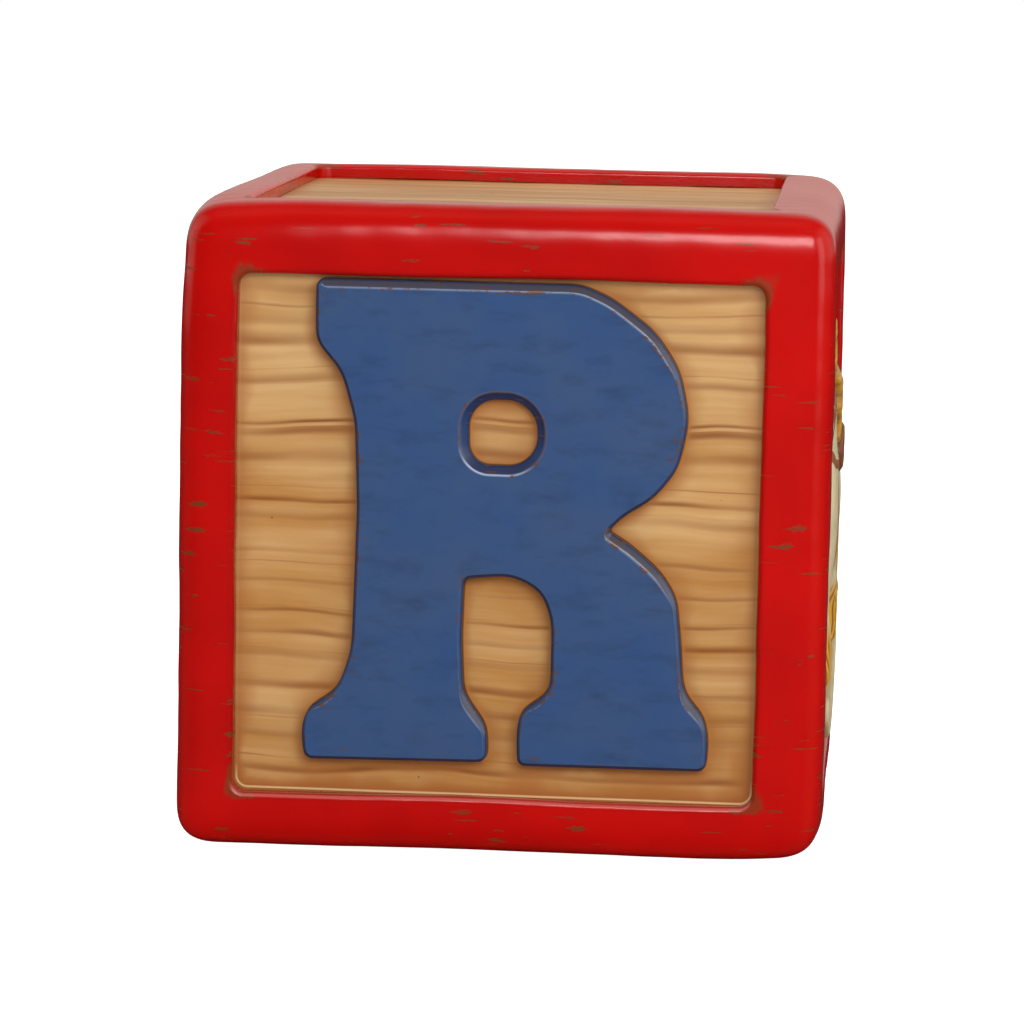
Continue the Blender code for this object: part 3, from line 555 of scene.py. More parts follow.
def rail_mesh(name, first_face, second_face, sizes, ripple, shifts):
    """A rail between two faces: half a section on each, joined at the crest and at the inner corner, its
    ends cut on the mitres. Hand-shaped waves and the drift of each opening move the points."""
    hidden, rows = rail_section(sizes)
    columns = rail_columns(sizes)
    base, base_normals = half_rail(sizes, rows, columns)
    pull = smooth_step(sizes.edge_radius, sizes.width - sizes.roundover, rows[:, 0])[:, None, None]
    along = np.cross(FACES[second_face][2], FACES[first_face][2])
    parts, turned = [], []
    for here, there in ((first_face, second_face), (second_face, first_face)):
        axes = np.array((along, FACES[there][2], FACES[here][2]), float)
        right, top, _ = (np.array(direction, float) for direction in FACES[here])
        across, up = shifts[here]
        parts.append(base @ axes + pull * (across * right + up * top))
        turned.append(base_normals @ axes)
    points = np.concatenate((parts[0], parts[1][:-1][::-1]))[:-1]
    normals = np.concatenate((turned[0], turned[1][:-1][::-1]))[:-1]
    section = np.concatenate((rows, rows[:-1][::-1]))[:-1]
    count, width = points.shape[:2]
    flat_points = ripple.move(points.reshape(-1, 3)) + CENTRE
    flat_normals = ripple.turn(points.reshape(-1, 3), normals.reshape(-1, 3))
    ring = np.arange(count)
    after = np.roll(ring, -1)
    column = np.arange(width - 1)
    corner = ring[:, None] * width + column[None]
    above = after[:, None] * width + column[None]
    quads = np.stack((corner, corner + 1, above + 1, above), axis=-1).reshape(-1, 4)
    crest = len(rows) - 1
    caps = []
    for place, step in ((0, 1), (width - 1, -1)):
        caps.append((ring[: crest + 1] * width + place)[::step][None])
        caps.append((np.append(ring[crest:], 0) * width + place)[::step][None])
    mesh = new_mesh(name, flat_points, quads, *caps)
    visible = np.zeros(count, bool)
    visible[hidden : count - hidden + 1] = True
    smooth = (visible & visible[after])[:, None] & np.ones(width - 1, bool)
    smooth = np.concatenate((smooth.ravel(), np.zeros(4, bool)))
    shade(mesh, flat_normals, smooth)
    store_rail_marks(mesh, sizes, section, columns, np.abs(ring - crest) / (EDGE_ROWS - 1))
    return mesh


def store_rail_marks(mesh, sizes, section, columns, from_crest):
    """Keeps a rail's distances in millimetres from the opening, less than zero down its wall, and from the
    opening's corner, and its share of the way from the crest to the end of the rounded edge."""
    from_opening = np.where(
        section[:, 0] >= sizes.width - 1e-9, -section[:, 1], sizes.width - section[:, 0]
    )
    past_end = (HALF - sizes.width) * (1 - np.abs(columns))
    from_corner = np.hypot(past_end[None], np.maximum(from_opening, 0)[:, None])
    store(mesh, "from_opening", np.repeat(from_opening / MM, len(columns)))
    store(mesh, "from_corner", (from_corner / MM).ravel())
    store(mesh, "from_crest", np.repeat(np.clip(from_crest, 0, 1), len(columns)))


def shade(mesh, normals, smooth):
    """Gives the corners of smooth faces their vertex's normal, and those of other faces the face's own."""
    corners = np.zeros(len(mesh.loops), np.int32)
    mesh.loops.foreach_get("vertex_index", corners)
    flat = np.zeros(len(mesh.polygons) * 3, np.float32)
    mesh.polygons.foreach_get("normal", flat)
    totals = np.zeros(len(mesh.polygons), np.int32)
    mesh.polygons.foreach_get("loop_total", totals)
    own = np.repeat(flat.reshape(-1, 3), totals, axis=0)
    mesh.normals_split_custom_set(np.where(np.repeat(smooth, totals)[:, None], normals[corners], own))


RAILS = {
    "rail_top_front": ("front", "top"),
    "rail_top_back": ("back", "top"),
    "rail_top_left": ("left", "top"),
    "rail_top_right": ("right", "top"),
    "rail_bottom_front": ("front", "bottom"),
    "rail_bottom_back": ("back", "bottom"),
    "rail_bottom_left": ("left", "bottom"),
    "rail_bottom_right": ("right", "bottom"),
    "post_front_left": ("front", "left"),
    "post_front_right": ("front", "right"),
    "post_back_left": ("back", "left"),
    "post_back_right": ("back", "right"),
}


# Panels

PANEL_COLUMNS = 200
LEAN_STEP = 2 * MM
GRAIN_APART = 0.7
NOTHING_NEAR = 1.0


def panel_mesh(name, face, loops, opening, shift, ripple):
    """A panel whose shown side is an even grid that undulates by the ripple, and whose far side is flat.

    It keeps the distances to the frame and to the raised work, how straight below raised work a point
    lies, and the place in the wood, which is another piece of wood on each face."""
    line = np.linspace(-PANEL_HALF, PANEL_HALF, PANEL_COLUMNS)
    across, up = np.meshgrid(line, line)
    flat = np.stack((across.ravel(), up.ravel()), axis=1)
    depth = RECESS + ripple.move(np.column_stack((flat, 0 * flat[:, 0])))[:, 2]
    shown = on_face(face, flat[:, 0], flat[:, 1], depth)
    size = PANEL_COLUMNS
    index = np.arange(size * size).reshape(size, size)
    rim = np.concatenate((index[0, :-1], index[:-1, -1], index[-1, :0:-1], index[:0:-1, 0]))
    behind = on_face(face, flat[rim, 0], flat[rim, 1], RECESS + PANEL_THICKNESS)
    low = size * size + np.arange(len(rim))
    walls = np.stack((rim, low, np.roll(low, -1), np.roll(rim, -1)), axis=1)
    mesh = new_mesh(name, np.vstack((shown, behind)), grid_faces(size, size), walls, low[::-1][None])
    mesh.set_sharp_from_angle(angle=SHARP_ANGLE)
    owner = np.concatenate((np.arange(size * size), rim))
    frame_gap = opening_distance(flat, opening, shift)
    raised_gap = np.full(len(flat), NOTHING_NEAR)
    lean = np.zeros(len(flat))
    if loops:
        step = np.array((0, LEAN_STEP))
        raised_gap = -outline_distance(flat, loops)
        lean = outline_distance(flat + step, loops) - outline_distance(flat - step, loops)
    store(mesh, "near_frame", frame_gap[owner] / MM)
    store(mesh, "near_raised", raised_gap[owner] / MM)
    store(mesh, "under_raised", np.clip(lean / (2 * LEAN_STEP), 0, 1)[owner])
    other_wood = np.full(len(flat), GRAIN_APART * list(FACES).index(face))
    store(mesh, "grain", np.column_stack((flat, other_wood))[owner])
    return mesh


def opening_distance(points, opening, shift):
    """Distance inward from the edge of the rounded square opening, which has drifted by shift."""
    half, radius = opening
    away = np.abs(points - shift) - (half - radius)
    outside = np.hypot(*np.maximum(away, 0).T)
    return radius - outside - np.minimum(np.max(away, axis=1), 0)


# Raised work

# Distances of the rings of points inside an outline, and the spacing of the grids further in
LETTER_RINGS = MM * np.array((0.5, 1.3, 2.1, 2.9, 3.7, 4.4, 5.0, 5.6, 6.2, 6.8, 7.5, 8.6, 10.5, 14.0))
HORSE_RINGS = MM * np.array((0.5, 1.2, 2.2, 3.4, 4.8, 6.5, 8.5))
HAIR_RINGS = HORSE_RINGS[:5]
LETTER_GRID = 5 * MM
BODY_GRID = 2.6 * MM
HAIR_GRID = 1.7 * MM
SADDLE_GRID = 2 * MM
ROCKER_GRID = 2.4 * MM
SEAT_DEPTH = 0.5 * MM

# The letter's bevel: share of it that eases into the top, side that it is wide on and how squarely the
# outline faces that side where it starts and is full, share of the drop that a narrow one has, and how
# far from the counter its own bevel reaches and its mark fades
CREST_SHARE = 0.13
WIDE_SIDE = np.array((0.3, 0.954))
WIDE_FACING = (0.4, 0.95)
NARROW_DROP = 0.55
PROBE = 0.4 * MM
COUNTER_ZONE = 13 * MM
COUNTER_FADE = (12 * MM, 9 * MM)

# The letter's outline: corners that stay sharp, how far from them easing starts and is full, and its
# rounds. Waves of the top grow from nothing at the outline over WAVE_EASE
SHARP_RADIUS = 10
EASING_REACH = (5 * MM, 22 * MM)
EASING_ROUNDS = 30
WAVE_EASE = 20 * MM


def quarter_round(distance, radius):
    """How far a rounded edge lies below the top: r - sqrt(r^2 - (r - d)^2) within r of the outline."""
    short = np.clip(radius - distance, 0, radius)
    return radius - np.sqrt(np.maximum(radius**2 - short**2, 0))


def leaning_bevel(lean):
    """The share of a bevel's drop: a slope that eases into the flat top as l - a (1 - exp(-l / a))."""
    eased = lean - CREST_SHARE * (1 - np.exp(-lean / CREST_SHARE))
    return eased / (1 - CREST_SHARE * (1 - math.exp(-1 / CREST_SHARE)))


def eased(loop, corners):
    """A closed outline after rounds of averaging with its neighbours, p = (p + (before + after) / 2) / 2,
    everywhere but near its sharp corners."""
    sharp = np.array([corner[:2] for corner in corners if corner[2] < SHARP_RADIUS]) * MM - (0, HALF)
    gap = np.linalg.norm(loop[:, None] - sharp[None], axis=-1).min(1)
    share = 0.5 * smooth_step(*EASING_REACH, gap)[:, None]
    for turn in range(EASING_ROUNDS):
        middle = (np.roll(loop, 1, axis=0) + np.roll(loop, -1, axis=0)) / 2
        loop = loop + share * (middle - loop)
    return loop


def letter_loops():
    """The letter's outline and its counter."""
    return [eased(rounded(LETTER_OUTLINE), LETTER_OUTLINE), rounded(LETTER_COUNTER)]


def letter_relief(sizes):
    """The letter: a flat top with a leaning bevel along its outline, wide where it faces up and to the
    right and narrow where it faces down and to the left, and widest round the counter."""
    loops = letter_loops()
    ripple = Ripple(LETTER_DRAW, LETTER_WAVES)

    def shape(points, distance, swell):
        slope = [
            outline_distance(points + step, loops) - outline_distance(points - step, loops)
            for step in ((PROBE, 0), (0, PROBE))
        ]
        facing = -np.stack(slope, axis=1) @ WIDE_SIDE / (2 * PROBE)
        wide = smooth_step(*WIDE_FACING, facing)
        from_counter = -outline_distance(points, loops[1:])
        by_counter = from_counter < COUNTER_ZONE
        width = sizes.narrow_bevel + wide * (sizes.bevel - sizes.narrow_bevel)
        width = np.where(by_counter, sizes.counter_bevel, width)
        drop = sizes.bevel_drop * (NARROW_DROP + (1 - NARROW_DROP) * wide)
        drop = np.where(by_counter, sizes.counter_drop, drop)
        wave = ripple.move(np.column_stack((points, 0 * distance)))[:, 2]
        lift = LETTER_PROUD - drop * leaning_bevel(np.clip(1 - distance / width, 0, 1))
        lift += wave * smooth_step(0, WAVE_EASE, distance)
        inner = smooth_step(*COUNTER_FADE, from_counter)
        return lift, {"facing": facing, "bevel": distance / width, "counter": inner}

    return relief(loops, LETTER_RINGS, LETTER_GRID, shape, SEAT_DEPTH)


def horse_loops():
    """The outlines of every raised piece of the horse."""
    return {
        "body": rounded(HORSE_OUTLINE),
        "mane": rounded(MANE_OUTLINE),
        "saddle": rounded(SADDLE_OUTLINE),
        "tail": rounded(TAIL_OUTLINE),
        "rocker": rocker_loop(),
    }


ROCKER_SPAN = 404 * MM
ROCKER_RISE = 46 * MM
ROCKER_WIDTH = 27 * MM
ROCKER_FOOT = 74 * MM
ROCKER_ROUNDOVER = 5 * MM

# Details of the horse as (across, height above the ground) in millimetres
EYE = (-151, 447)
NOSTRIL = (-193, 390)
NOSEBAND = ((-187, 421), (-176, 400), (-167, 376))
CHEEK_STRAP = ((-176, 400), (-150, 424), (-124, 452), (-108, 470))
BROWBAND = ((-160, 462), (-143, 452), (-126, 440), (-134, 420), (-150, 424))
REIN = ((-167, 394), (-150, 370), (-122, 352), (-88, 348), (-60, 356), (-44, 358))
GIRTH = ((14, 345), (10, 320), (9, 290), (12, 255), (16, 222))
MOUTH = ((-206, 384), (-194, 381), (-184, 386))

# Muscles as (across, height above the ground, size, amount) in millimetres
MUSCLES = (
    (-112, 300, 44, 2.0), (118, 296, 50, 2.5), (-150, 420, 24, 2.5), (-88, 352, 34, 1.0),
    (-166, 232, 14, 1.2), (118, 206, 16, 1.2), (-40, 286, 60, 1.5),
)

# The body: how far in from the outline its muscles are full, and the power of its swell's share
SKIN_EASE = 12 * MM
SWELL_POWER = 0.85

# Sizes and heights above the ground of the body's details, in millimetres, and where their edges start
# and are full, a strap's as shares of its half width
STRAP_HALF_WIDTH = 4.5
GIRTH_HALF_WIDTH = 9
STRAP_RISE = 1.3
STRAP_EDGE = (1.1, 0.75)
EYE_SIZE = 5.5
EYE_RISE = 2.2
NOSTRIL_SIZE = 3.4
NOSTRIL_DEPTH = 1.6
MOUTH_DEPTH = 1.2
MOUTH_EDGE = (0.4, 1.8)
HEAD_DROP = 7
NECK_FOOT = 402
NECK_TOP = 440
FETLOCK_TOP = 216
FETLOCK_FULL = 186
FETLOCK_RISE = 3.2
FRONT_HOOF = 150
HIND_HOOF = 142
HOOF_EDGE = (2, -2)

# The fetlocks' hair: height of its waves in millimetres and their turn in radians to a millimetre, and how
# far it curls and its upper end is tufted, both in millimetres
HAIR_WAVE = 0.9
HAIR_TURN = 0.9
CURL = 3
CURL_LENGTH = 9
TUFT = 5
TUFT_LENGTH = 3

# Grooves between strands of the mane and tail, whose width is in millimetres, and between locks of three
STRAND_WIDTH = 7.5
STRAND_DEPTH = 1.1 * MM
STRAND_POWER = 3
LOCK_STRANDS = 3
LOCK_DEPTH = 1.6 * MM
LOCK_POWER = 5
LOCK_START = 0.6
GROOVE_EASE = 3 * MM
HAIR_ROUNDOVER = 5 * MM
HAIR_SWELL = 2.5 * MM

# The mane: how its strands lie across and up and where they bend, and its rise to its foot. The tail's
# middle at several heights, and the wave of its strands. Places are in millimetres
MANE_LIE = (0.42, -0.9)
MANE_BEND = 0.004
MANE_BEND_FROM = -60
MANE_RISE = 3 * MM
MANE_FOOT = 425
MANE_TOP = 445
TAIL_WAVE = 5
TAIL_WAVE_LENGTH = 24
TAIL_HEIGHTS = (158, 200, 260, 310, 345, 372)
TAIL_MIDDLE = (194, 198, 201, 194, 176, 150)

# The saddle: its rolled rim's place, width and rise, edge, swell, and how deep it is let into the body
SADDLE_RIM_IN = 5 * MM
SADDLE_RIM_WIDTH = 2.2 * MM
SADDLE_RIM_RISE = 1.6 * MM
SADDLE_ROUNDOVER = 3 * MM
SADDLE_SWELL = 2 * MM
SADDLE_LET_IN = 1 * MM

# The line cut along the rocker's edges: its place, width and depth
LINE_IN = 8.5 * MM
LINE_WIDTH = 1.2 * MM
LINE_DEPTH = 0.9 * MM


def rocker_loop():
    """The rocker is a crescent whose lower arc has the span and the rise wanted."""
    radius = (ROCKER_SPAN**2 / 4 + ROCKER_RISE**2) / (2 * ROCKER_RISE)
    return crescent(ROCKER_FOOT - HALF + radius, radius, ROCKER_WIDTH, ROCKER_SPAN - ROCKER_WIDTH)


def body_relief(sizes, loops):
    """The body: its skin swells like a half-filled bag from the outline, with muscles, raised straps and
    eye, sunk nostril and mouth, and feathered fetlocks. Heights in millimetres add up to its lift.

    It keeps how far a point is from a strap as a share of the strap's half width, how far below the
    fetlock, how feathered, its place across the hair's waves, and how far from the eye and the creases."""

    def shape(points, distance, swell):
        place = (points + (0, HALF)) / MM
        across, height = place.T
        inner = smooth_step(0, SKIN_EASE, distance)
        skin = np.zeros(len(points))
        for muscle_across, muscle_height, size, amount in MUSCLES:
            skin += amount * bump(points, muscle_across, muscle_height, size) * inner
        straps = [
            path_distance(points, path) / MM / half_width
            for path, half_width in (
                (NOSEBAND, STRAP_HALF_WIDTH),
                (CHEEK_STRAP, STRAP_HALF_WIDTH),
                (REIN, STRAP_HALF_WIDTH),
                (BROWBAND, STRAP_HALF_WIDTH),
                (GIRTH, GIRTH_HALF_WIDTH),
            )
        ]
        strap = np.min(straps, axis=0)
        skin += STRAP_RISE * smooth_step(*STRAP_EDGE, strap)
        skin += EYE_RISE * bump(points, *EYE, EYE_SIZE)
        skin -= NOSTRIL_DEPTH * bump(points, *NOSTRIL, NOSTRIL_SIZE)
        mouth = path_distance(points, MOUTH) / MM
        skin -= MOUTH_DEPTH * (1 - smooth_step(*MOUTH_EDGE, mouth))
        skin -= HEAD_DROP * smooth_step(NECK_FOOT, NECK_TOP, height)
        curl = across + CURL * np.sin(height / CURL_LENGTH)
        tuft = TUFT * np.sin(curl / TUFT_LENGTH)
        feather = smooth_step(FETLOCK_TOP, FETLOCK_FULL, height + tuft)
        below_fetlock = np.where(across < 0, FRONT_HOOF, HIND_HOOF) - height
        hair = feather * smooth_step(*HOOF_EDGE, below_fetlock) * inner
        skin += hair * (FETLOCK_RISE + HAIR_WAVE * np.sin(curl * HAIR_TURN))
        lift = sizes.proud - quarter_round(distance, sizes.roundover)
        lift += sizes.swell * (swell / swell.max()) ** SWELL_POWER + skin * MM
        nostril = np.hypot(*(place - NOSTRIL).T)
        return lift, {
            "strap": strap,
            "hoof": np.maximum(below_fetlock, -20),
            "feather": feather,
            "curl": curl,
            "eye": np.hypot(*(place - EYE).T),
            "crease": np.minimum(mouth, nostril),
        }

    return relief([loops["body"]], HORSE_RINGS, BODY_GRID, shape, SEAT_DEPTH)


def strand_phase(points, kind):
    """Which strand of hair a point is on. The mane's strands fall back to the left in shallow arcs, and the
    tail's follow its own bend."""
    across, height = ((points + (0, HALF)) / MM).T
    if kind == "mane":
        lie = MANE_LIE[0] * across + MANE_LIE[1] * height
        return (lie + MANE_BEND * (across - MANE_BEND_FROM) ** 2) / STRAND_WIDTH
    bend = np.interp(height, TAIL_HEIGHTS, TAIL_MIDDLE)
    return (across - bend + TAIL_WAVE * np.sin(height / TAIL_WAVE_LENGTH)) / STRAND_WIDTH


def hair_relief(kind, loops, proud):
    """Carved hair: a rounded piece with a groove (1 - |sin|)^n between strands, deeper between locks. The
    mane stands higher toward its foot."""

    def shape(points, distance, swell):
        phase = strand_phase(points, kind)
        fine = (1 - np.abs(np.sin(math.pi * phase))) ** STRAND_POWER
        lock = (1 - np.abs(np.sin(math.pi * phase / LOCK_STRANDS + LOCK_START))) ** LOCK_POWER
        cut = smooth_step(0, GROOVE_EASE, distance)
        lift = proud - quarter_round(distance, HAIR_ROUNDOVER) + HAIR_SWELL * swell / swell.max()
        lift -= cut * (STRAND_DEPTH * fine + LOCK_DEPTH * lock)
        if kind == "mane":
            height = (points[:, 1] + HALF) / MM
            lift += MANE_RISE * (2 * smooth_step(MANE_TOP, MANE_FOOT, height) - 1)
        return lift, {"groove": np.clip(0.6 * fine + lock, 0, 1)}

    return relief([loops[kind]], HAIR_RINGS, HAIR_GRID, shape, SEAT_DEPTH)


def saddle_relief(sizes, loops):
    """The saddle: a pad let into the horse's back, whose rim is rolled as exp(-((d - in) / width)^2)."""

    def shape(points, distance, swell):
        rim = SADDLE_RIM_RISE * np.exp(-(((distance - SADDLE_RIM_IN) / SADDLE_RIM_WIDTH) ** 2))
        lift = sizes.saddle_proud - quarter_round(distance, SADDLE_ROUNDOVER)
        return lift + rim + SADDLE_SWELL * swell / swell.max(), {}

    return relief([loops["saddle"]], HAIR_RINGS, SADDLE_GRID, shape, SADDLE_LET_IN - sizes.proud)


def rocker_relief(sizes, loops):
    """The rocker: a crescent runner with rounded edges and a shallow line cut along them."""

    def shape(points, distance, swell):
        line = LINE_DEPTH * np.exp(-(((distance - LINE_IN) / LINE_WIDTH) ** 2))
        return sizes.rocker_proud - quarter_round(distance, ROCKER_ROUNDOVER) - line, {}

    return relief([loops["rocker"]], HORSE_RINGS, ROCKER_GRID, shape, SEAT_DEPTH)


# Materials


def node(tree, kind, inputs=(), **settings):
    """Adds a node, makes its settings, and gives its inputs values, or links from sockets or other nodes.

    Inputs come by name or in the node's own order, which for MapRange is the value, from low, from high,
    to low and to high. A node given as a value stands for its first output in use."""
    made = tree.nodes.new("ShaderNode" + kind)
    for name, value in settings.items():
        setattr(made, name, value)
    for key, value in inputs.items() if isinstance(inputs, dict) else enumerate(inputs):
        if isinstance(key, int):
            socket = made.inputs[key]
        else:
            socket = next(item for item in made.inputs if item.enabled and item.name == key)
        if isinstance(value, bpy.types.Node):
            value = next(item for item in value.outputs if item.enabled)
        if isinstance(value, bpy.types.NodeSocket):
            tree.links.new(value, socket)
        else:
            socket.default_value = value
    return made


def per_metre(*sizes):
    """How often a pattern comes back in a metre, from the size of one repeat in millimetres."""
    counts = tuple(1 / (size * MM) for size in sizes)
    return counts if len(counts) > 1 else counts[0]


def new_material(name):
    """A material with only its shader and output, and the tree and shader to build on."""
    material = bpy.data.materials.new(name)
    material.use_nodes = True
    tree = material.node_tree
    return material, tree, tree.nodes["Principled BSDF"]


def finish_shader(tree, shader, base, roughness, bump_height=None, bump_size=0.0, **constants):
    """Links a shader's colour, roughness and bump, and sets the values that are the same all over."""
    tree.links.new(next(item for item in base.outputs if item.enabled), shader.inputs["Base Color"])
    if isinstance(roughness, bpy.types.Node):
        tree.links.new(next(item for item in roughness.outputs if item.enabled), shader.inputs["Roughness"])
    else:
        shader.inputs["Roughness"].default_value = roughness
    if bump_height is not None:
        raised = node(tree, "Bump", {"Height": bump_height, "Distance": bump_size, "Strength": 1.0})
        tree.links.new(raised.outputs["Normal"], shader.inputs["Normal"])
    for name, value in constants.items():
        shader.inputs[name.replace("_", " ")].default_value = value


def tapered_marks(tree, place, cell, thinness, fullness, chance):
    """Level strokes with pointed ends, about one to a cell: 1 - (r / l)^2 - |z| / w from the middle of a
    Voronoi cell that is thinness times lower than wide, with w growing from one end to the other and the
    edge made ragged by fine noise. chance, a socket or a number from 0 to 1, is the share of the cells
    left empty."""
    shake = node(tree, "TexNoise", {"Vector": place, "Scale": 0.8 / cell, "Detail": 1.0})
    lifted = node(tree, "VectorMath", (shake.outputs["Color"], (0.5, 0.5, 0.5)), operation="SUBTRACT")
    lifted = node(tree, "VectorMath", (lifted, (0, 0, 0.9 * cell / thinness)), operation="MULTIPLY")
    moved = node(tree, "VectorMath", (place, lifted), operation="ADD")
    scale = (1 / cell, 1 / cell, thinness / cell)
    turned = node(tree, "Mapping", {"Vector": moved, "Rotation": (0.05, -0.05, 0), "Scale": scale})
    cells = node(tree, "TexVoronoi", {"Vector": turned, "Scale": 1.0, "Randomness": 1.0})
    random = node(tree, "SeparateColor", {"Color": cells.outputs["Color"]})
    away = node(tree, "VectorMath", (turned, cells.outputs["Position"]), operation="SUBTRACT")
    level = node(tree, "VectorMath", (away, (1, 1, 0)), operation="MULTIPLY")
    reach = node(tree, "VectorMath", (level, level), operation="DOT_PRODUCT")
    end = node(tree, "VectorMath", (level, (1, 1, 0)), operation="DOT_PRODUCT")
    taper = node(tree, "Math", (end, 2.1, 1.0), operation="MULTIPLY_ADD")
    taper = node(tree, "Math", (taper, 0.2), operation="MAXIMUM")
    high = node(tree, "SeparateXYZ", {"Vector": away}).outputs["Z"]
    high = node(tree, "Math", (high,), operation="ABSOLUTE")
    high = node(tree, "Math", (high, taper), operation="DIVIDE")
    ragged = node(tree, "Mapping", {"Vector": place, "Scale": per_metre(6, 6, 1.6)})
    ragged = node(tree, "TexNoise", {"Vector": ragged, "Scale": 1.0, "Detail": 2.0})
    ragged = node(tree, "MapRange", (ragged, 0.3, 0.7, 0.6, 1.4))
    long = node(tree, "Math", (reach, -6.5, ragged), operation="MULTIPLY_ADD")
    body = node(tree, "Math", (high, -1 / fullness, long), operation="MULTIPLY_ADD")
    body = node(tree, "Math", (random.outputs["Green"], -0.45, body), operation="MULTIPLY_ADD")
    body = node(tree, "MapRange", (body, 0.0, 0.3, 0.0, 1.0))
    kept = node(tree, "Math", (random.outputs["Red"], chance), operation="GREATER_THAN")
    return node(tree, "Math", (body, kept), operation="MULTIPLY")


def dry_strokes(tree, place, facing_up, crest):
    """Brown strokes up to 36 mm long and hairs up to 45 mm, drawn level with a dry brush on upright faces.
    They come in clumps, and the hairs are thickest near the outer edges. Bristles 0.9 mm apart show."""
    clump = node(tree, "TexNoise", {"Vector": place, "Scale": per_metre(170), "Detail": 1.0})
    empty = node(tree, "MapRange", (clump, 0.40, 0.62, 0.99, 0.66))
    strokes = tapered_marks(tree, place, 36 * MM, 3.4, 0.27, empty)
    sparse = node(tree, "MapRange", (clump, 0.40, 0.62, 1.0, 0.86))
    outer = node(tree, "MapRange", (crest, 0.9, 0.2, 1.0, 0.84))
    sparse = node(tree, "Math", (sparse, outer), operation="MINIMUM")
    hairs = tapered_marks(tree, place, 45 * MM, 11.0, 0.24, sparse)
    strokes = node(tree, "Math", (strokes, hairs), operation="MAXIMUM")
    slant = node(tree, "Math", (facing_up,), operation="ABSOLUTE")
    upright = node(tree, "MapRange", (slant, 0.85, 0.6, 0.0, 1.0))
    bristles = node(tree, "Mapping", {"Vector": place, "Scale": per_metre(14.29, 14.29, 0.909)})
    bristles = node(tree, "TexNoise", {"Vector": bristles, "Scale": 1.0, "Detail": 1.0})
    bristles = node(tree, "MapRange", (bristles, 0.4, 0.54, 0.35, 0.95))
    for share in (upright, bristles):
        strokes = node(tree, "Math", (strokes, share), operation="MULTIPLY")
    return strokes


def corner_smudges(tree, place, opening, corner):
    """Brown glaze left in patches beside the corners of the openings, on the face and not on the wall."""
    smear = node(tree, "Mapping", {"Vector": place, "Scale": per_metre(7, 7, 22)})
    scuff = node(tree, "TexNoise", {"Vector": smear, "Scale": 1.0, "Detail": 3.0})
    near = node(tree, "MapRange", (corner, 40.0, 6.0, 0.0, 1.0))
    beside = node(tree, "MapRange", (opening, 15.0, 3.0, 0.0, 1.0))
    face_only = node(tree, "MapRange", (opening, -3.0, 0.0, 0.0, 1.0))
    smudge = scuff
    for share in (near, beside, face_only):
        smudge = node(tree, "Math", (smudge, share), operation="MULTIPLY")
    return node(tree, "MapRange", (smudge, 0.18, 0.36, 0.0, 0.62))


def glazed_and_shaded_walls(tree, opening, height):
    """Brown glaze and painted shade on the opening's lip and wall, all but left off the cube's top face,
    where light falls.
    """
    on_lip = (opening, 8.0, 0.0, 0.0, 0.35)
    on_wall = (opening, 1.0, -11.0, 0.0, 0.5)
    lip, wall = (node(tree, "MapRange", zone, interpolation_type="SMOOTHSTEP") for zone in (on_lip, on_wall))
    wall = node(tree, "Math", (lip, wall), operation="MAXIMUM")
    side = node(tree, "MapRange", (height, 0.592, 0.575, 0.1, 1.0))
    return node(tree, "Math", (wall, side), operation="MULTIPLY")


def painted_lip_highlight(tree, opening, height, facing_up):
    """A painted highlight: a pale line on the rounded lips that face up, 3 to 4 mm wide, less on the top."""
    lip_highlight = node(tree, "MapRange", (facing_up, 0.25, 0.5, 0.0, 0.5))
    below_top = node(tree, "MapRange", (height, 0.59, 0.57, 0.4, 1.0))
    rise = node(tree, "MapRange", (opening, 0.2, 1.3, 0.0, 1.0))
    fall = node(tree, "MapRange", (opening, 4.3, 3.0, 0.0, 1.0))
    for share in (below_top, rise, fall):
        lip_highlight = node(tree, "Math", (lip_highlight, share), operation="MULTIPLY")
    return lip_highlight


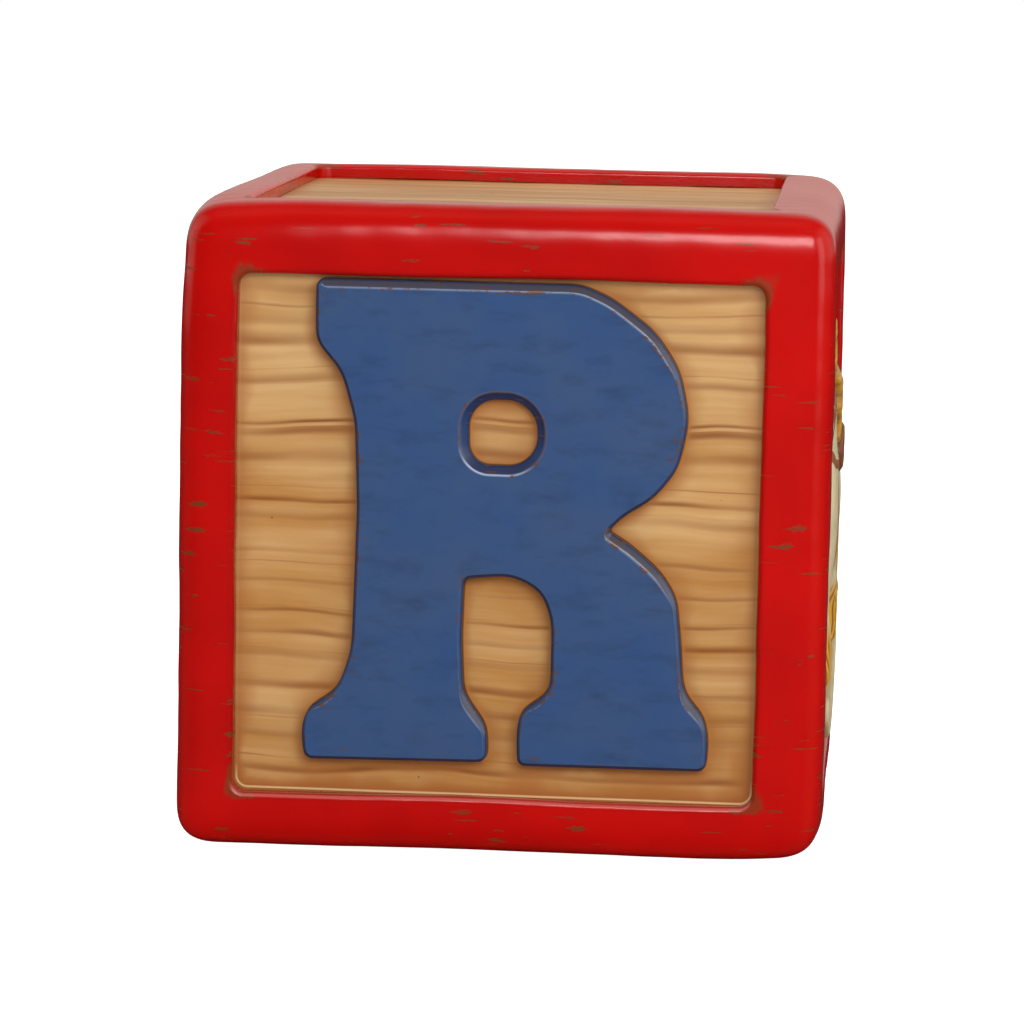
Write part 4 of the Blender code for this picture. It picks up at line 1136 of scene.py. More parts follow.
def red_enamel(colours):
    """Brushed red enamel over timber, antiqued with brown glaze: deep red, a soft gloss, dry strokes across
    the rails, glaze left beside the corners of the openings, glaze and painted shade on their walls, a pale
    painted highlight on the lips where the openings face up, brighter outer edges and a few pinholes."""
    material, tree, shader = new_material("antiqued_red_enamel")
    spot = node(tree, "TexCoord")
    place = spot.outputs["Object"]
    height = node(tree, "SeparateXYZ", {"Vector": place}).outputs["Z"]
    facing_up = node(tree, "SeparateXYZ", {"Vector": spot.outputs["Normal"]}).outputs["Z"]
    opening, corner, crest = (
        node(tree, "Attribute", attribute_name=name).outputs["Fac"]
        for name in ("from_opening", "from_corner", "from_crest")
    )
    cloud = node(tree, "TexNoise", {"Vector": place, "Scale": per_metre(110), "Detail": 2.0})
    cloud = node(tree, "MapRange", (cloud, 0.3, 0.7, 0.0, 1.0))
    strokes = dry_strokes(tree, place, facing_up, crest)
    smudges = corner_smudges(tree, place, opening, corner)
    marks = node(tree, "Math", (strokes, smudges), operation="MAXIMUM")
    worn = node(tree, "MapRange", (crest, 0.25, 0.0, 0.0, 0.12))
    pits = node(tree, "TexVoronoi", {"Vector": place, "Scale": per_metre(45)})
    pits = node(tree, "MapRange", (pits.outputs["Distance"], 0.010, 0.018, 0.6, 0.0))
    base = colour(colours.red_deep)
    for share, tone in (
        (cloud, colours.red),
        # Glaze and painted shade on the lips and walls of the openings
        (glazed_and_shaded_walls(tree, opening, height), colours.red_glazed_and_shaded),
        (marks, colours.glaze),
        # Painted highlight on the lips of the openings that face up
        (painted_lip_highlight(tree, opening, height, facing_up), colours.red_lip_highlight),
        (worn, colours.red_worn),
        (pits, colours.pit),
    ):
        base = node(tree, "Mix", {"Factor": share, "A": base, "B": colour(tone)}, data_type="RGBA")
    drag = node(tree, "TexNoise", {"Vector": place, "Scale": per_metre(30), "Detail": 1.0})
    orange_peel = node(tree, "TexNoise", {"Vector": place, "Scale": per_metre(7), "Detail": 1.0})
    film = node(tree, "Math", (drag, 3.0, orange_peel), operation="MULTIPLY_ADD")
    rough = node(tree, "MapRange", (marks, 0.0, 1.0, 0.2, 0.38))
    finish_shader(tree, shader, base, rough, film, 0.05 * MM, Specular_IOR_Level=0.3)
    return material


def counter_rim(tree, place, bevel, facing, counter):
    """Brown patches along the crest round the counter, where it faces level or down."""
    before = node(tree, "MapRange", (bevel, 0.86, 0.97, 0.0, 1.0))
    past = node(tree, "MapRange", (bevel, 1.12, 1.02, 0.0, 1.0))
    lower = node(tree, "MapRange", (facing, 0.75, 0.5, 0.0, 1.0))
    patches = node(tree, "TexNoise", {"Vector": place, "Scale": per_metre(12), "Detail": 2.0})
    rim = node(tree, "MapRange", (patches, 0.35, 0.55, 0.1, 0.75))
    for share in (before, past, lower, counter):
        rim = node(tree, "Math", (rim, share), operation="MULTIPLY")
    return rim


def letter_nicks(tree, place, edge, bevel, facing, counter):
    """Chips in the crest, in clumps and not on edges that face down, and pointed strokes near the
    outline. The chips are 8 mm long and 4 mm high."""
    empty = node(tree, "MapRange", (edge, 13.0, 4.0, 1.0, 0.55))
    wedges = tapered_marks(tree, place, 20 * MM, 4.0, 0.24, empty)
    stretched = node(tree, "Mapping", {"Vector": place, "Scale": per_metre(8, 8, 4)})
    chips = node(tree, "TexNoise", {"Vector": stretched, "Scale": 1.0, "Detail": 2.0})
    zone = node(tree, "MapRange", (bevel, 2.1, 1.2, 0.0, 1.0))
    on_bevel = node(tree, "MapRange", (bevel, 0.7, 0.95, 0.75, 1.0))
    plain = node(tree, "MapRange", (counter, 0.0, 1.0, 1.0, 0.8))
    not_under = node(tree, "MapRange", (facing, -0.6, -0.35, 0.0, 1.0))
    clump = node(tree, "TexNoise", {"Vector": place, "Scale": per_metre(60), "Detail": 1.0})
    clump = node(tree, "MapRange", (clump, 0.4, 0.62, 0.9, 1.22))
    for share in (on_bevel, plain, not_under, clump):
        zone = node(tree, "Math", (zone, share), operation="MULTIPLY")
    chips = node(tree, "Math", (chips, zone), operation="MULTIPLY")
    chips = node(tree, "MapRange", (chips, 0.57, 0.63, 0.0, 1.0))
    nicks = node(tree, "Math", (wedges, chips), operation="MAXIMUM")
    return node(tree, "Math", (nicks, 0.8), operation="MULTIPLY")


def blue_enamel(colours):
    """Blue enamel on the carved letter, antiqued with glaze: even and satin on top, a pale painted highlight
    along the crests that face up and to the right, grey-brown glaze with painted reflection on the lit bevels
    and near-black painted shade on the others, deep blue painted shade round the counter with a patchy brown
    rim, and small nicks where bevel and top meet."""
    material, tree, shader = new_material("antiqued_blue_enamel")
    place = node(tree, "TexCoord").outputs["Object"]
    edge, bevel, counter, facing, below = (
        node(tree, "Attribute", attribute_name=name).outputs["Fac"]
        for name in ("edge", "bevel", "counter", "facing", "below")
    )
    cloud = node(tree, "TexNoise", {"Vector": place, "Scale": per_metre(70), "Detail": 3.0})
    cloud = node(tree, "MapRange", (cloud, 0.3, 0.7, 0.0, 1.0))
    brushed = node(tree, "Mapping", {"Vector": place, "Scale": per_metre(28.57, 28.57, 11.11)})
    mottle = node(tree, "TexNoise", {"Vector": brushed, "Scale": 1.0, "Detail": 3.0})
    mottle = node(tree, "MapRange", (mottle, 0.5, 0.8, 0.0, 0.42))
    # Bevels that face the light get grey-brown glaze with painted reflection, those that face away get
    # painted shade
    leaning = node(tree, "MapRange", (bevel, 1.04, 0.86, 0.0, 1.0))
    lit = node(tree, "MapRange", (facing, 0.25, 0.85, 0.1, 0.9))
    shaded = node(tree, "MapRange", (facing, 0.1, -0.6, 0.0, 0.8))
    lit_bevel = node(tree, "Math", (leaning, lit), operation="MULTIPLY")
    shaded_bevel = node(tree, "Math", (leaning, shaded), operation="MULTIPLY")
    # Painted highlight: a pale line where bevel and top meet, on the crests that face the light
    before = node(tree, "MapRange", (bevel, 0.84, 0.96, 0.0, 1.0))
    past = node(tree, "MapRange", (bevel, 1.2, 1.04, 0.0, 1.0))
    crest = node(tree, "MapRange", (counter, 0.0, 1.0, 0.33, 0.8))
    for share in (before, past, lit):
        crest = node(tree, "Math", (crest, share), operation="MULTIPLY")
    rim = node(tree, "MapRange", (edge, 1.8, 0.8, 0.0, 0.85))
    # Painted shade: the bevel in the counter's hollow drawn deeper blue
    deep = node(tree, "MapRange", (bevel, 1.0, 0.7, 0.0, 0.6))
    deep = node(tree, "Math", (deep, counter), operation="MULTIPLY")
    # The letter's walls drawn near black: painted shade at the letter's foot, with glaze
    wall = node(tree, "MapRange", (below, 0.0, 0.6, 0.0, 0.85))
    base = colour(colours.blue)
    for share, tone in (
        (cloud, colours.blue_grey),
        (mottle, colours.blue_dark),
        (lit_bevel, colours.bevel_glaze_and_reflection),
        (shaded_bevel, colours.bevel_shadow),
        (crest, colours.crest),
        (rim, colours.blue_dark),
        (deep, colours.counter_shade),
        (counter_rim(tree, place, bevel, facing, counter), colours.nick),
        (letter_nicks(tree, place, edge, bevel, facing, counter), colours.nick),
        (wall, colours.bevel_shadow),
    ):
        base = node(tree, "Mix", {"Factor": share, "A": base, "B": colour(tone)}, data_type="RGBA")
    fine = node(tree, "TexNoise", {"Vector": place, "Scale": per_metre(4), "Detail": 2.0})
    finish_shader(tree, shader, base, 0.26, fine, 0.03 * MM, Specular_IOR_Level=0.35)
    return material


def grain_lines(tree, grain, spacing, narrow, broad):
    """Dark lines of drawn grain: 1 at a line, fading slowly upward and quickly downward over a width that
    differs by line, from narrow to broad shares of the spacing, each with its own strength."""
    parted = node(tree, "SeparateXYZ", {"Vector": grain})
    level = node(tree, "Math", (parted.outputs["Y"], parted.outputs["Z"]), operation="ADD")
    level = node(tree, "Math", (level, 1 / spacing), operation="MULTIPLY")
    cells = {"W": level, "Scale": 1.0, "Randomness": 0.85}
    lines = node(tree, "TexVoronoi", cells, voronoi_dimensions="1D", feature="F1")
    away = node(tree, "Math", (level, lines.outputs["W"]), operation="SUBTRACT")
    random = node(tree, "SeparateColor", {"Color": lines.outputs["Color"]})
    width = node(tree, "MapRange", (random.outputs["Red"], 0.0, 1.0, narrow, broad))
    above = node(tree, "Math", (away, 0.8), operation="MULTIPLY")
    below = node(tree, "Math", (away, -1.5), operation="MULTIPLY")
    share = node(tree, "Math", (above, below), operation="MAXIMUM")
    share = node(tree, "Math", (share, width), operation="DIVIDE")
    fading = (share, 1.0, 0.0, 0.0, 1.0)
    line = node(tree, "MapRange", fading, interpolation_type="SMOOTHSTEP")
    strength = node(tree, "MapRange", (random.outputs["Green"], 0.0, 0.9, 0.3, 1.0))
    return node(tree, "Math", (line, strength), operation="MULTIPLY")


def bent_grain(tree, grain):
    """The grain's coordinates moved up and down by up to 16 mm, slowly with a quick wobble, so that lines
    drawn along them wander."""
    slow = node(tree, "Mapping", {"Vector": grain, "Scale": per_metre(277.8, 200, 111.1)})
    slow = node(tree, "TexNoise", {"Vector": slow, "Scale": 1.0, "Detail": 1.0})
    quick = node(tree, "Mapping", {"Vector": grain, "Scale": per_metre(71.43, 71.43, 111.1)})
    quick = node(tree, "TexNoise", {"Vector": quick, "Scale": 1.0, "Detail": 1.0})
    bend = node(tree, "Math", (quick, 0.14, slow), operation="MULTIPLY_ADD")
    bend = node(tree, "MapRange", (bend, 0.0, 1.0, -16 * MM, 16 * MM), clamp=False)
    bend = node(tree, "CombineXYZ", {"Y": bend})
    return node(tree, "VectorMath", (grain, bend), operation="ADD")


def drawn_grain(tree, grain, bent):
    """Soft bands 26 mm apart and crisp lines 38 mm apart. Where the bands fade, the lines show."""
    bands = grain_lines(tree, bent, 26 * MM, 0.12, 0.38)
    crisp = grain_lines(tree, bent, 38 * MM, 0.025, 0.07)
    fade = node(tree, "Mapping", {"Vector": grain, "Scale": per_metre(142.9, 41.67, 200)})
    fade = node(tree, "TexNoise", {"Vector": fade, "Scale": 1.0, "Detail": 1.0})
    band_fade = node(tree, "MapRange", (fade, 0.36, 0.64, 0.4, 1.0))
    line_fade = node(tree, "MapRange", (fade, 0.6, 0.4, 0.2, 0.75))
    bands = node(tree, "Math", (bands, band_fade), operation="MULTIPLY")
    crisp = node(tree, "Math", (crisp, line_fade), operation="MULTIPLY")
    return node(tree, "Math", (crisp, bands), operation="MAXIMUM")


def sprayed_glaze_and_shade(tree, grain, up, frame_gap, raised_gap, under):
    """Glaze sprayed against the frame, darker towards the bottom, and against the raised work, with painted
    shadow that makes it stronger under the work. It fades out over 7 to 36 mm."""
    mist = node(tree, "TexNoise", {"Vector": grain, "Scale": per_metre(60), "Detail": 2.0})
    spread = node(tree, "MapRange", (mist, 0.3, 0.7, 7.0, 36.0))
    low = node(tree, "MapRange", (up, -0.12, -0.235, 0.5, 1.1))
    # Painted shadow: the spray is made stronger below the raised work
    shadowed = node(tree, "MapRange", (under, 0.0, 1.0, 0.5, 1.0))
    sprays = []
    for gap, start, strength in ((frame_gap, 1.0, low), (raised_gap, 0.9, shadowed)):
        spray = node(tree, "Math", (gap, spread), operation="DIVIDE")
        fading = (spray, start, 0.0, 0.0, 1.0)
        spray = node(tree, "MapRange", fading, interpolation_type="SMOOTHSTEP")
        sprays.append(node(tree, "Math", (spray, strength), operation="MULTIPLY"))
    return node(tree, "Math", (sprays[0], sprays[1]), operation="MAXIMUM")


def varnished_pine(colours):
    """Pine boards with hand-drawn grain under satin varnish: tan wood with fine fibre, soft brown bands with
    thin crisp lines between, orange-brown glaze sprayed against the frame and the work with painted shadow
    under the work, a pale painted highlight on the bead of varnish along the bottom of the frame, and a few
    small knots."""
    material, tree, shader = new_material("varnished_pine")
    grain = node(tree, "Attribute", attribute_name="grain").outputs["Vector"]
    frame_gap, raised_gap, under = (
        node(tree, "Attribute", attribute_name=name).outputs["Fac"]
        for name in ("near_frame", "near_raised", "under_raised")
    )
    up = node(tree, "SeparateXYZ", {"Vector": grain}).outputs["Y"]
    bent = bent_grain(tree, grain)
    broad = node(tree, "Mapping", {"Vector": grain, "Scale": per_metre(333.3, 76.92, 250)})
    broad = node(tree, "TexNoise", {"Vector": broad, "Scale": 1.0, "Detail": 2.0})
    broad = node(tree, "Math", (up, -0.6, broad), operation="MULTIPLY_ADD")
    broad = node(tree, "MapRange", (broad, 0.27, 0.6, 0.0, 0.7))
    fibre = node(tree, "Mapping", {"Vector": bent, "Scale": per_metre(200, 13.333, 111.1)})
    fibre = node(tree, "TexNoise", {"Vector": fibre, "Scale": 1.0, "Detail": 4.0, "Roughness": 0.55})
    streak = node(tree, "MapRange", (fibre, 0.35, 0.7, 0.0, 0.4))
    wood = node(tree, "Math", (broad, streak), operation="ADD")
    glow = node(tree, "MapRange", (raised_gap, 5.0, 1.2, 0.0, 0.6))
    # Painted highlight: a pale line on the varnish bead along the bottom of the frame only
    bead = node(tree, "MapRange", (up, -0.222, -0.238, 0.08, 0.8))
    bead_in = node(tree, "MapRange", (frame_gap, 0.4, 1.0, 0.0, 1.0))
    bead_out = node(tree, "MapRange", (frame_gap, 3.0, 2.0, 0.0, 1.0))
    for share in (bead_in, bead_out):
        bead = node(tree, "Math", (bead, share), operation="MULTIPLY")
    seam = node(tree, "MapRange", (raised_gap, 1.0, 0.3, 0.0, 0.7))
    knots = node(tree, "TexVoronoi", {"Vector": grain, "Scale": per_metre(160)})
    knots = node(tree, "MapRange", (knots.outputs["Distance"], 0.012, 0.026, 0.8, 0.0))
    specks = node(tree, "TexVoronoi", {"Vector": grain, "Scale": per_metre(35)})
    specks = node(tree, "MapRange", (specks.outputs["Distance"], 0.02, 0.035, 0.6, 0.0))
    knots = node(tree, "Math", (knots, specks), operation="MAXIMUM")
    base = colour(colours.pine_light)
    for share, tone in (
        (wood, colours.pine),
        (drawn_grain(tree, grain, bent), colours.pine_line),
        (sprayed_glaze_and_shade(tree, grain, up, frame_gap, raised_gap, under), colours.pine_spray_and_shade),
        (glow, colours.pine_glow),
        (bead, colours.pine_bead_highlight),
        (seam, colours.pine_dark),
        (knots, colours.pine_dark),
    ):
        base = node(tree, "Mix", {"Factor": share, "A": base, "B": colour(tone)}, data_type="RGBA")
    finish_shader(tree, shader, base, 0.36, fibre, 0.02 * MM, Specular_IOR_Level=0.25)
    return material


def painted(name, light, dark, groove=None, roughness=0.4):
    """Hand-painted carving under thin brown glaze: even colour on the high parts, brown in the grooves and
    along the foot of the outline."""
    material, tree, shader = new_material(name)
    place = node(tree, "TexCoord").outputs["Object"]
    edge = node(tree, "Attribute", attribute_name="edge").outputs["Fac"]
    below = node(tree, "Attribute", attribute_name="below").outputs["Fac"]
    cloud = node(tree, "TexNoise", {"Vector": place, "Scale": per_metre(30), "Detail": 3.0})
    cloud = node(tree, "MapRange", (cloud, 0.35, 0.75, 0.0, 0.3))
    along_foot = (edge, 5.0, 0.0, 0.0, 0.5)
    foot = node(tree, "MapRange", along_foot, interpolation_type="SMOOTHSTEP")
    wall = node(tree, "Math", (foot, below), operation="MAXIMUM")
    layers = [(cloud, dark), (wall, dark)]
    if groove:
        layers.append((node(tree, "Attribute", attribute_name="groove").outputs["Fac"], groove))
    base = colour(light)
    for share, tone in layers:
        base = node(tree, "Mix", {"Factor": share, "A": base, "B": colour(tone)}, data_type="RGBA")
    fine = node(tree, "TexNoise", {"Vector": place, "Scale": per_metre(3), "Detail": 2.0})
    finish_shader(tree, shader, base, roughness, fine, 0.1 * MM, Specular_IOR_Level=0.4)
    return material, tree, shader, base


def horse_coat(colours):
    """Cream paint on the horse, with golden feathered fetlocks, brown leather straps, dark hooves, and a
    dark bead for an eye."""
    material, tree, shader, base = painted("cream_coat_paint", colours.cream, colours.cream_glaze)
    curl = node(tree, "Attribute", attribute_name="curl").outputs["Fac"]
    wave = node(tree, "Math", (curl, HAIR_TURN), operation="MULTIPLY")
    wave = node(tree, "Math", (wave,), operation="SINE")
    groove = node(tree, "MapRange", (wave, 0.5, -1.0, 0.0, 0.85))
    gold, dark = colour(colours.gold), colour(colours.gold_glaze)
    hair = node(tree, "Mix", {"Factor": groove, "A": gold, "B": dark}, data_type="RGBA")
    feather = node(tree, "Attribute", attribute_name="feather").outputs["Fac"]
    base = node(tree, "Mix", {"Factor": feather, "A": base, "B": hair}, data_type="RGBA")
    for attribute, low, high, tone in (
        ("strap", 1.06, 0.94, colours.leather),
        ("hoof", -0.4, 0.4, colours.hoof),
        ("crease", 2.2, 0.6, colours.hoof),
        ("eye", 4.6, 4.0, colours.hoof),
    ):
        value = node(tree, "Attribute", attribute_name=attribute).outputs["Fac"]
        shown = node(tree, "MapRange", (value, low, high, 0.0, 0.92))
        base = node(tree, "Mix", {"Factor": shown, "A": base, "B": colour(tone)}, data_type="RGBA")
    tree.links.new(next(item for item in base.outputs if item.enabled), shader.inputs["Base Color"])
    return material


def plain_wood(name, light, dark, fibre_size):
    """Bare wood inside and under the block: even colour with fine straight grain along the width and no
    gloss. fibre_size is in millimetres."""
    material, tree, shader = new_material(name)
    place = node(tree, "TexCoord").outputs["Object"]
    fibre = node(tree, "Mapping", {"Vector": place, "Scale": per_metre(250, fibre_size, fibre_size)})
    fibre = node(tree, "TexNoise", {"Vector": fibre, "Scale": 1.0, "Detail": 4.0, "Distortion": 0.4})
    share = node(tree, "MapRange", (fibre, 0.3, 0.7, 0.0, 1.0))
    base = node(tree, "Mix", {"Factor": share, "A": colour(light), "B": colour(dark)}, data_type="RGBA")
    finish_shader(tree, shader, base, 0.6, fibre, 0.1 * MM, Specular_IOR_Level=0.3)
    return material


def zinc_steel(light, dark):
    """Zinc-plated steel screws: bright grey metal with a faint bluish mottle."""
    material, tree, shader = new_material("zinc_plated_steel")
    place = node(tree, "TexCoord").outputs["Object"]
    spangle = node(tree, "TexNoise", {"Vector": place, "Scale": per_metre(2), "Detail": 2.0})
    base = node(tree, "Mix", {"Factor": spangle, "A": colour(light), "B": colour(dark)}, data_type="RGBA")
    finish_shader(tree, shader, base, 0.32, spangle, 0.03 * MM, Metallic=1.0)
    return material


# Settings


def length(name, description, default, low=0.0):
    """A length in metres that a user may change."""
    return bpy.props.FloatProperty(
        name=name,
        description=description,
        default=default,
        min=low,
        precision=5,
        subtype="DISTANCE",
        unit="LENGTH",
    )


def watts(name, description, default):
    """A lamp's power in watts that a user may change."""
    return bpy.props.FloatProperty(name=name, description=description, default=default, min=0, unit="POWER")


def degrees(name, description, default):
    """An angle that a user may change, with its default in degrees."""
    default = math.radians(default)
    return bpy.props.FloatProperty(name=name, description=description, default=default, subtype="ANGLE")


def tint(name, description, default):
    """A colour that a user may change, as sRGB hex text."""
    return bpy.props.StringProperty(name=name, description=description, default=default, maxlen=7)


class RailSettings(bpy.types.PropertyGroup):
    """Sizes of the frame."""

    width: length("Rail width", "From the outer side of a rail to the opening", 60 * MM)
    edge_radius: length("Edge radius", "Reach of the cube's rounded edges on each face", 46 * MM)
    edge_fullness: bpy.props.FloatProperty(
        name="Edge fullness",
        description="2 for a round edge, more for one that eases into the flat",
        default=3.0,
        min=1.0,
    )
    opening_radius: length("Opening radius", "Radius of the opening's corners", 12 * MM)
    roundover: length("Opening roundover", "Radius of the edge that runs round the opening", 5 * MM)
    waviness: length("Waviness", "How far the slow waves of the rails move them", 1.1 * MM)
    dents: length("Dents", "How far the short waves of the rails move them", 0.16 * MM)
    drift_left: length("Left drift", "Front opening's place left of the middle", 3.5 * MM, -10 * MM)
    drift_down: length("Down drift", "Front opening's place below the middle", 5.5 * MM, -10 * MM)
    other_drift: length("Other drift", "How far the other openings lie off the middle", 2 * MM, -10 * MM)


class LetterSettings(bpy.types.PropertyGroup):
    """Sizes of the raised letters."""

    bevel: length("Bevel width", "Leaning band where the outline faces up and right", 7.2 * MM)
    narrow_bevel: length("Narrow bevel", "Leaning band where the outline faces down and left", 3.2 * MM)
    bevel_drop: length("Bevel drop", "How much lower the letter is at its outline", 4.8 * MM)
    counter_bevel: length("Counter bevel", "Leaning band round the counter", 8.0 * MM)
    counter_drop: length("Counter drop", "How much lower the letter is round the counter", 7.5 * MM)


class HorseSettings(bpy.types.PropertyGroup):
    """Heights of the rocking horse's pieces above the panel."""

    proud: length("Body edge", "Height of the body near its outline", 10.5 * MM)
    swell: length("Body swell", "How much higher the body is at its fullest", 6 * MM)
    roundover: length("Body roundover", "Radius of the body's edge", 4.5 * MM)
    mane_proud: length("Mane height", "Height of the mane", 15 * MM)
    tail_proud: length("Tail height", "Height of the tail", 14 * MM)
    saddle_proud: length("Saddle height", "Height of the saddle", 18.5 * MM)
    rocker_proud: length("Rocker height", "Height of the rocker", 17 * MM)


class PaintSettings(bpy.types.PropertyGroup):
    """Colours of the paints and woods."""

    red: tint("Red", "Enamel of the frame", "#C60400")
    red_deep: tint("Deep red", "Darker clouds in the enamel", "#B40200")
    red_worn: tint("Worn red", "Enamel rubbed brighter along the outer edges", "#D8301C")
    # Painted highlight on the upper lips of the openings
    red_lip_highlight: tint("Rubbed red", "Enamel polished pale on the upper lips of the openings", "#E4756E")
    # Glaze and painted shade on the walls of the openings
    red_glazed_and_shaded: tint("Glazed red", "Enamel under glaze on the walls of the openings", "#6E1006")
    glaze: tint("Glaze", "Brown rubbed strokes and smudges", "#6A3810")
    pit: tint("Pits", "Pinholes in the enamel", "#5A0A06")
    blue: tint("Blue", "Enamel of the letters", "#32507F")
    blue_grey: tint("Grey blue", "Greyer clouds in the blue", "#3C537A")
    blue_dark: tint("Dark blue", "Mottle and edge of the letters", "#253352")
    # Painted highlight where bevel and top meet
    crest: tint("Crest", "Paint rubbed pale where bevel and top meet", "#A4B2CC")
    # Glaze with painted reflection on the bevels that face the light
    bevel_glaze_and_reflection: tint("Bevel glaze", "Grey-brown glaze on the letters' bevels", "#48434C")
    # Painted shade on the bevels that face away from the light and on the letter's walls, with glaze
    bevel_shadow: tint("Letter foot", "Glaze on the shaded bevels and the walls", "#2E2220")
    # Painted shade in the counter's hollow
    counter_shade: tint("Counter shade", "Deep blue in the bevel round the counter", "#1C3260")
    nick: tint("Nicks", "Chips along the letters' edges and brown rim of the counter", "#65401C")
    pine: tint("Pine", "Wood of the panels", "#B9803F")
    pine_light: tint("Light pine", "Lighter bands of the wood", "#DDB37A")
    # Sprayed glaze, with painted shadow below the raised work
    pine_line: tint("Grain line", "Dark lines of the grain", "#864210")
    pine_spray_and_shade: tint("Sprayed glaze", "Glaze against the frame and the raised work", "#AE6A30")
    pine_glow: tint("Glow", "Bright glaze right beside the raised work", "#C87C34")
    # Painted highlight on the varnish bead along the frame
    pine_bead_highlight: tint("Bead", "Bright line along the frame", "#F0D09A")
    pine_dark: tint("Seam", "Seam round the raised work and the frame, and knots", "#4A2A14")
    cream: tint("Cream", "Paint of the horse and its rocker", "#DDCFA6")
    cream_glaze: tint("Cream glaze", "Glaze on the cream paint", "#9C7E48")
    gold: tint("Gold", "Paint of the mane", "#D9A032")
    gold_glaze: tint("Gold glaze", "Glaze in the mane and tail", "#6E4312")
    leather: tint("Leather", "Paint of the saddle and straps", "#8A4A22")
    leather_glaze: tint("Leather glaze", "Glaze on the saddle", "#3E1E0E")
    hoof: tint("Hoof", "Paint of the hooves and the eye", "#3A2416")
    plywood: tint("Plywood", "Birch plywood of the base board", "#D2B58A")
    plywood_dark: tint("Plywood fibre", "Darker fibres of the plywood", "#B8935F")
    beech: tint("Beech", "Wood of the corner blocks", "#CBA279")
    beech_dark: tint("Beech fibre", "Darker fibres of the beech", "#B3865A")
    zinc: tint("Zinc", "Plating of the screws", "#B9BCC0")
    zinc_dark: tint("Dark zinc", "Mottle of the plating", "#8F949B")


class StageSettings(bpy.types.PropertyGroup):
    """Camera, light and floor."""

    camera_across: length("Camera across", "Right of the block's middle", 0.3596, -10)
    camera_back: length("Camera distance", "In front of the block's middle", 4.2734)
    camera_height: length("Camera height", "Above the ground", 0.8905)
    camera_turn: degrees("Turn", "Camera turned to the left", 5.008)
    camera_tilt: degrees("Tilt", "Camera tilted down", 8.105)
    camera_roll: degrees("Roll", "Camera rolled anticlockwise", 1.046)
    focal_length: bpy.props.FloatProperty(
        name="Focal length", description="In millimetres on a 36 mm sensor", default=155.46, min=1
    )
    room_light: bpy.props.FloatProperty(
        name="Room light", description="Strength of the even light", default=0.5, min=0
    )
    key_power: watts("Key light", "Lamp in front, which matt surfaces see", 110.0)
    strip_power: watts("Strip light", "Lamp in front, which gloss sees", 215.0)
    right_power: watts("Right light", "Lamp on the right", 25.0)
    top_power: watts("Top light", "Lamp overhead, which matt surfaces see", 36.0)
    floor_size: length("Floor size", "Side of the floor", 30.0)


# Operators


def timber_ripple(sizes):
    """The waves that every rail shares, so that the mitres stay closed."""
    waves = [(size, share * sizes.waviness, count) for size, share, count in RAIL_WAVES]
    waves.append((DENT_LENGTH, sizes.dents, DENT_COUNT))
    worn = [(np.array(corner) * HALF, amount * MM, size * MM) for corner, amount, size in WORN_CORNERS]
    return Ripple(RAIL_DRAW, waves, worn)


def drifts(sizes):
    """How far each opening lies off the middle of its face, across and up."""
    slip = sizes.other_drift
    return {
        "front": (-sizes.drift_left, -sizes.drift_down),
        "back": (slip, -slip),
        "left": (-slip, slip),
        "right": (slip, -slip),
        "top": (-slip, slip),
        "bottom": (0, 0),
    }


class BLOCK_OT_rails(bpy.types.Operator):
    """Make the twelve painted rails of the frame"""

    bl_idname = "letter_block.rails"
    bl_label = "Rails"

    def execute(self, context):
        sizes = context.scene.letter_block_rails
        material = red_enamel(context.scene.letter_block_paints)
        ripple = timber_ripple(sizes)
        for node_name, (first, second) in RAILS.items():
            mesh = rail_mesh(node_name + "_painted", first, second, sizes, ripple, drifts(sizes))
            add_piece(node_name + "_painted", mesh, material, "frame", node_name)
        return {"FINISHED"}


class BLOCK_OT_panels(bpy.types.Operator):
    """Make the five pine panels"""

    bl_idname = "letter_block.panels"
    bl_label = "Panels"

    def execute(self, context):
        sizes = context.scene.letter_block_rails
        material = varnished_pine(context.scene.letter_block_paints)
        letter = letter_loops()
        horse = list(horse_loops().values())
        opening = (HALF - sizes.width, sizes.opening_radius)
        raised_work = {"front": letter, "back": letter, "left": horse, "right": horse, "top": []}
        for turn, (face, loops) in enumerate(raised_work.items()):
            name = f"panel_{face}_boarded"
            ripple = Ripple(PANEL_DRAW + turn, PANEL_WAVES)
            mesh = panel_mesh(name, face, loops, opening, drifts(sizes)[face], ripple)
            add_piece(name, mesh, material, "panel", f"panel_{face}")
        return {"FINISHED"}


class BLOCK_OT_letters(bpy.types.Operator):
    """Make the raised letter on the front and the back"""

    bl_idname = "letter_block.letters"
    bl_label = "Letters"

    def execute(self, context):
        sizes = context.scene.letter_block_letters
        material = blue_enamel(context.scene.letter_block_paints)
        made = letter_relief(sizes)
        for face in ("front", "back"):
            name = f"letter_{face}_painted"
            add_piece(name, relief_mesh(name, face, made), material, "letter", f"letter_{face}")
        return {"FINISHED"}


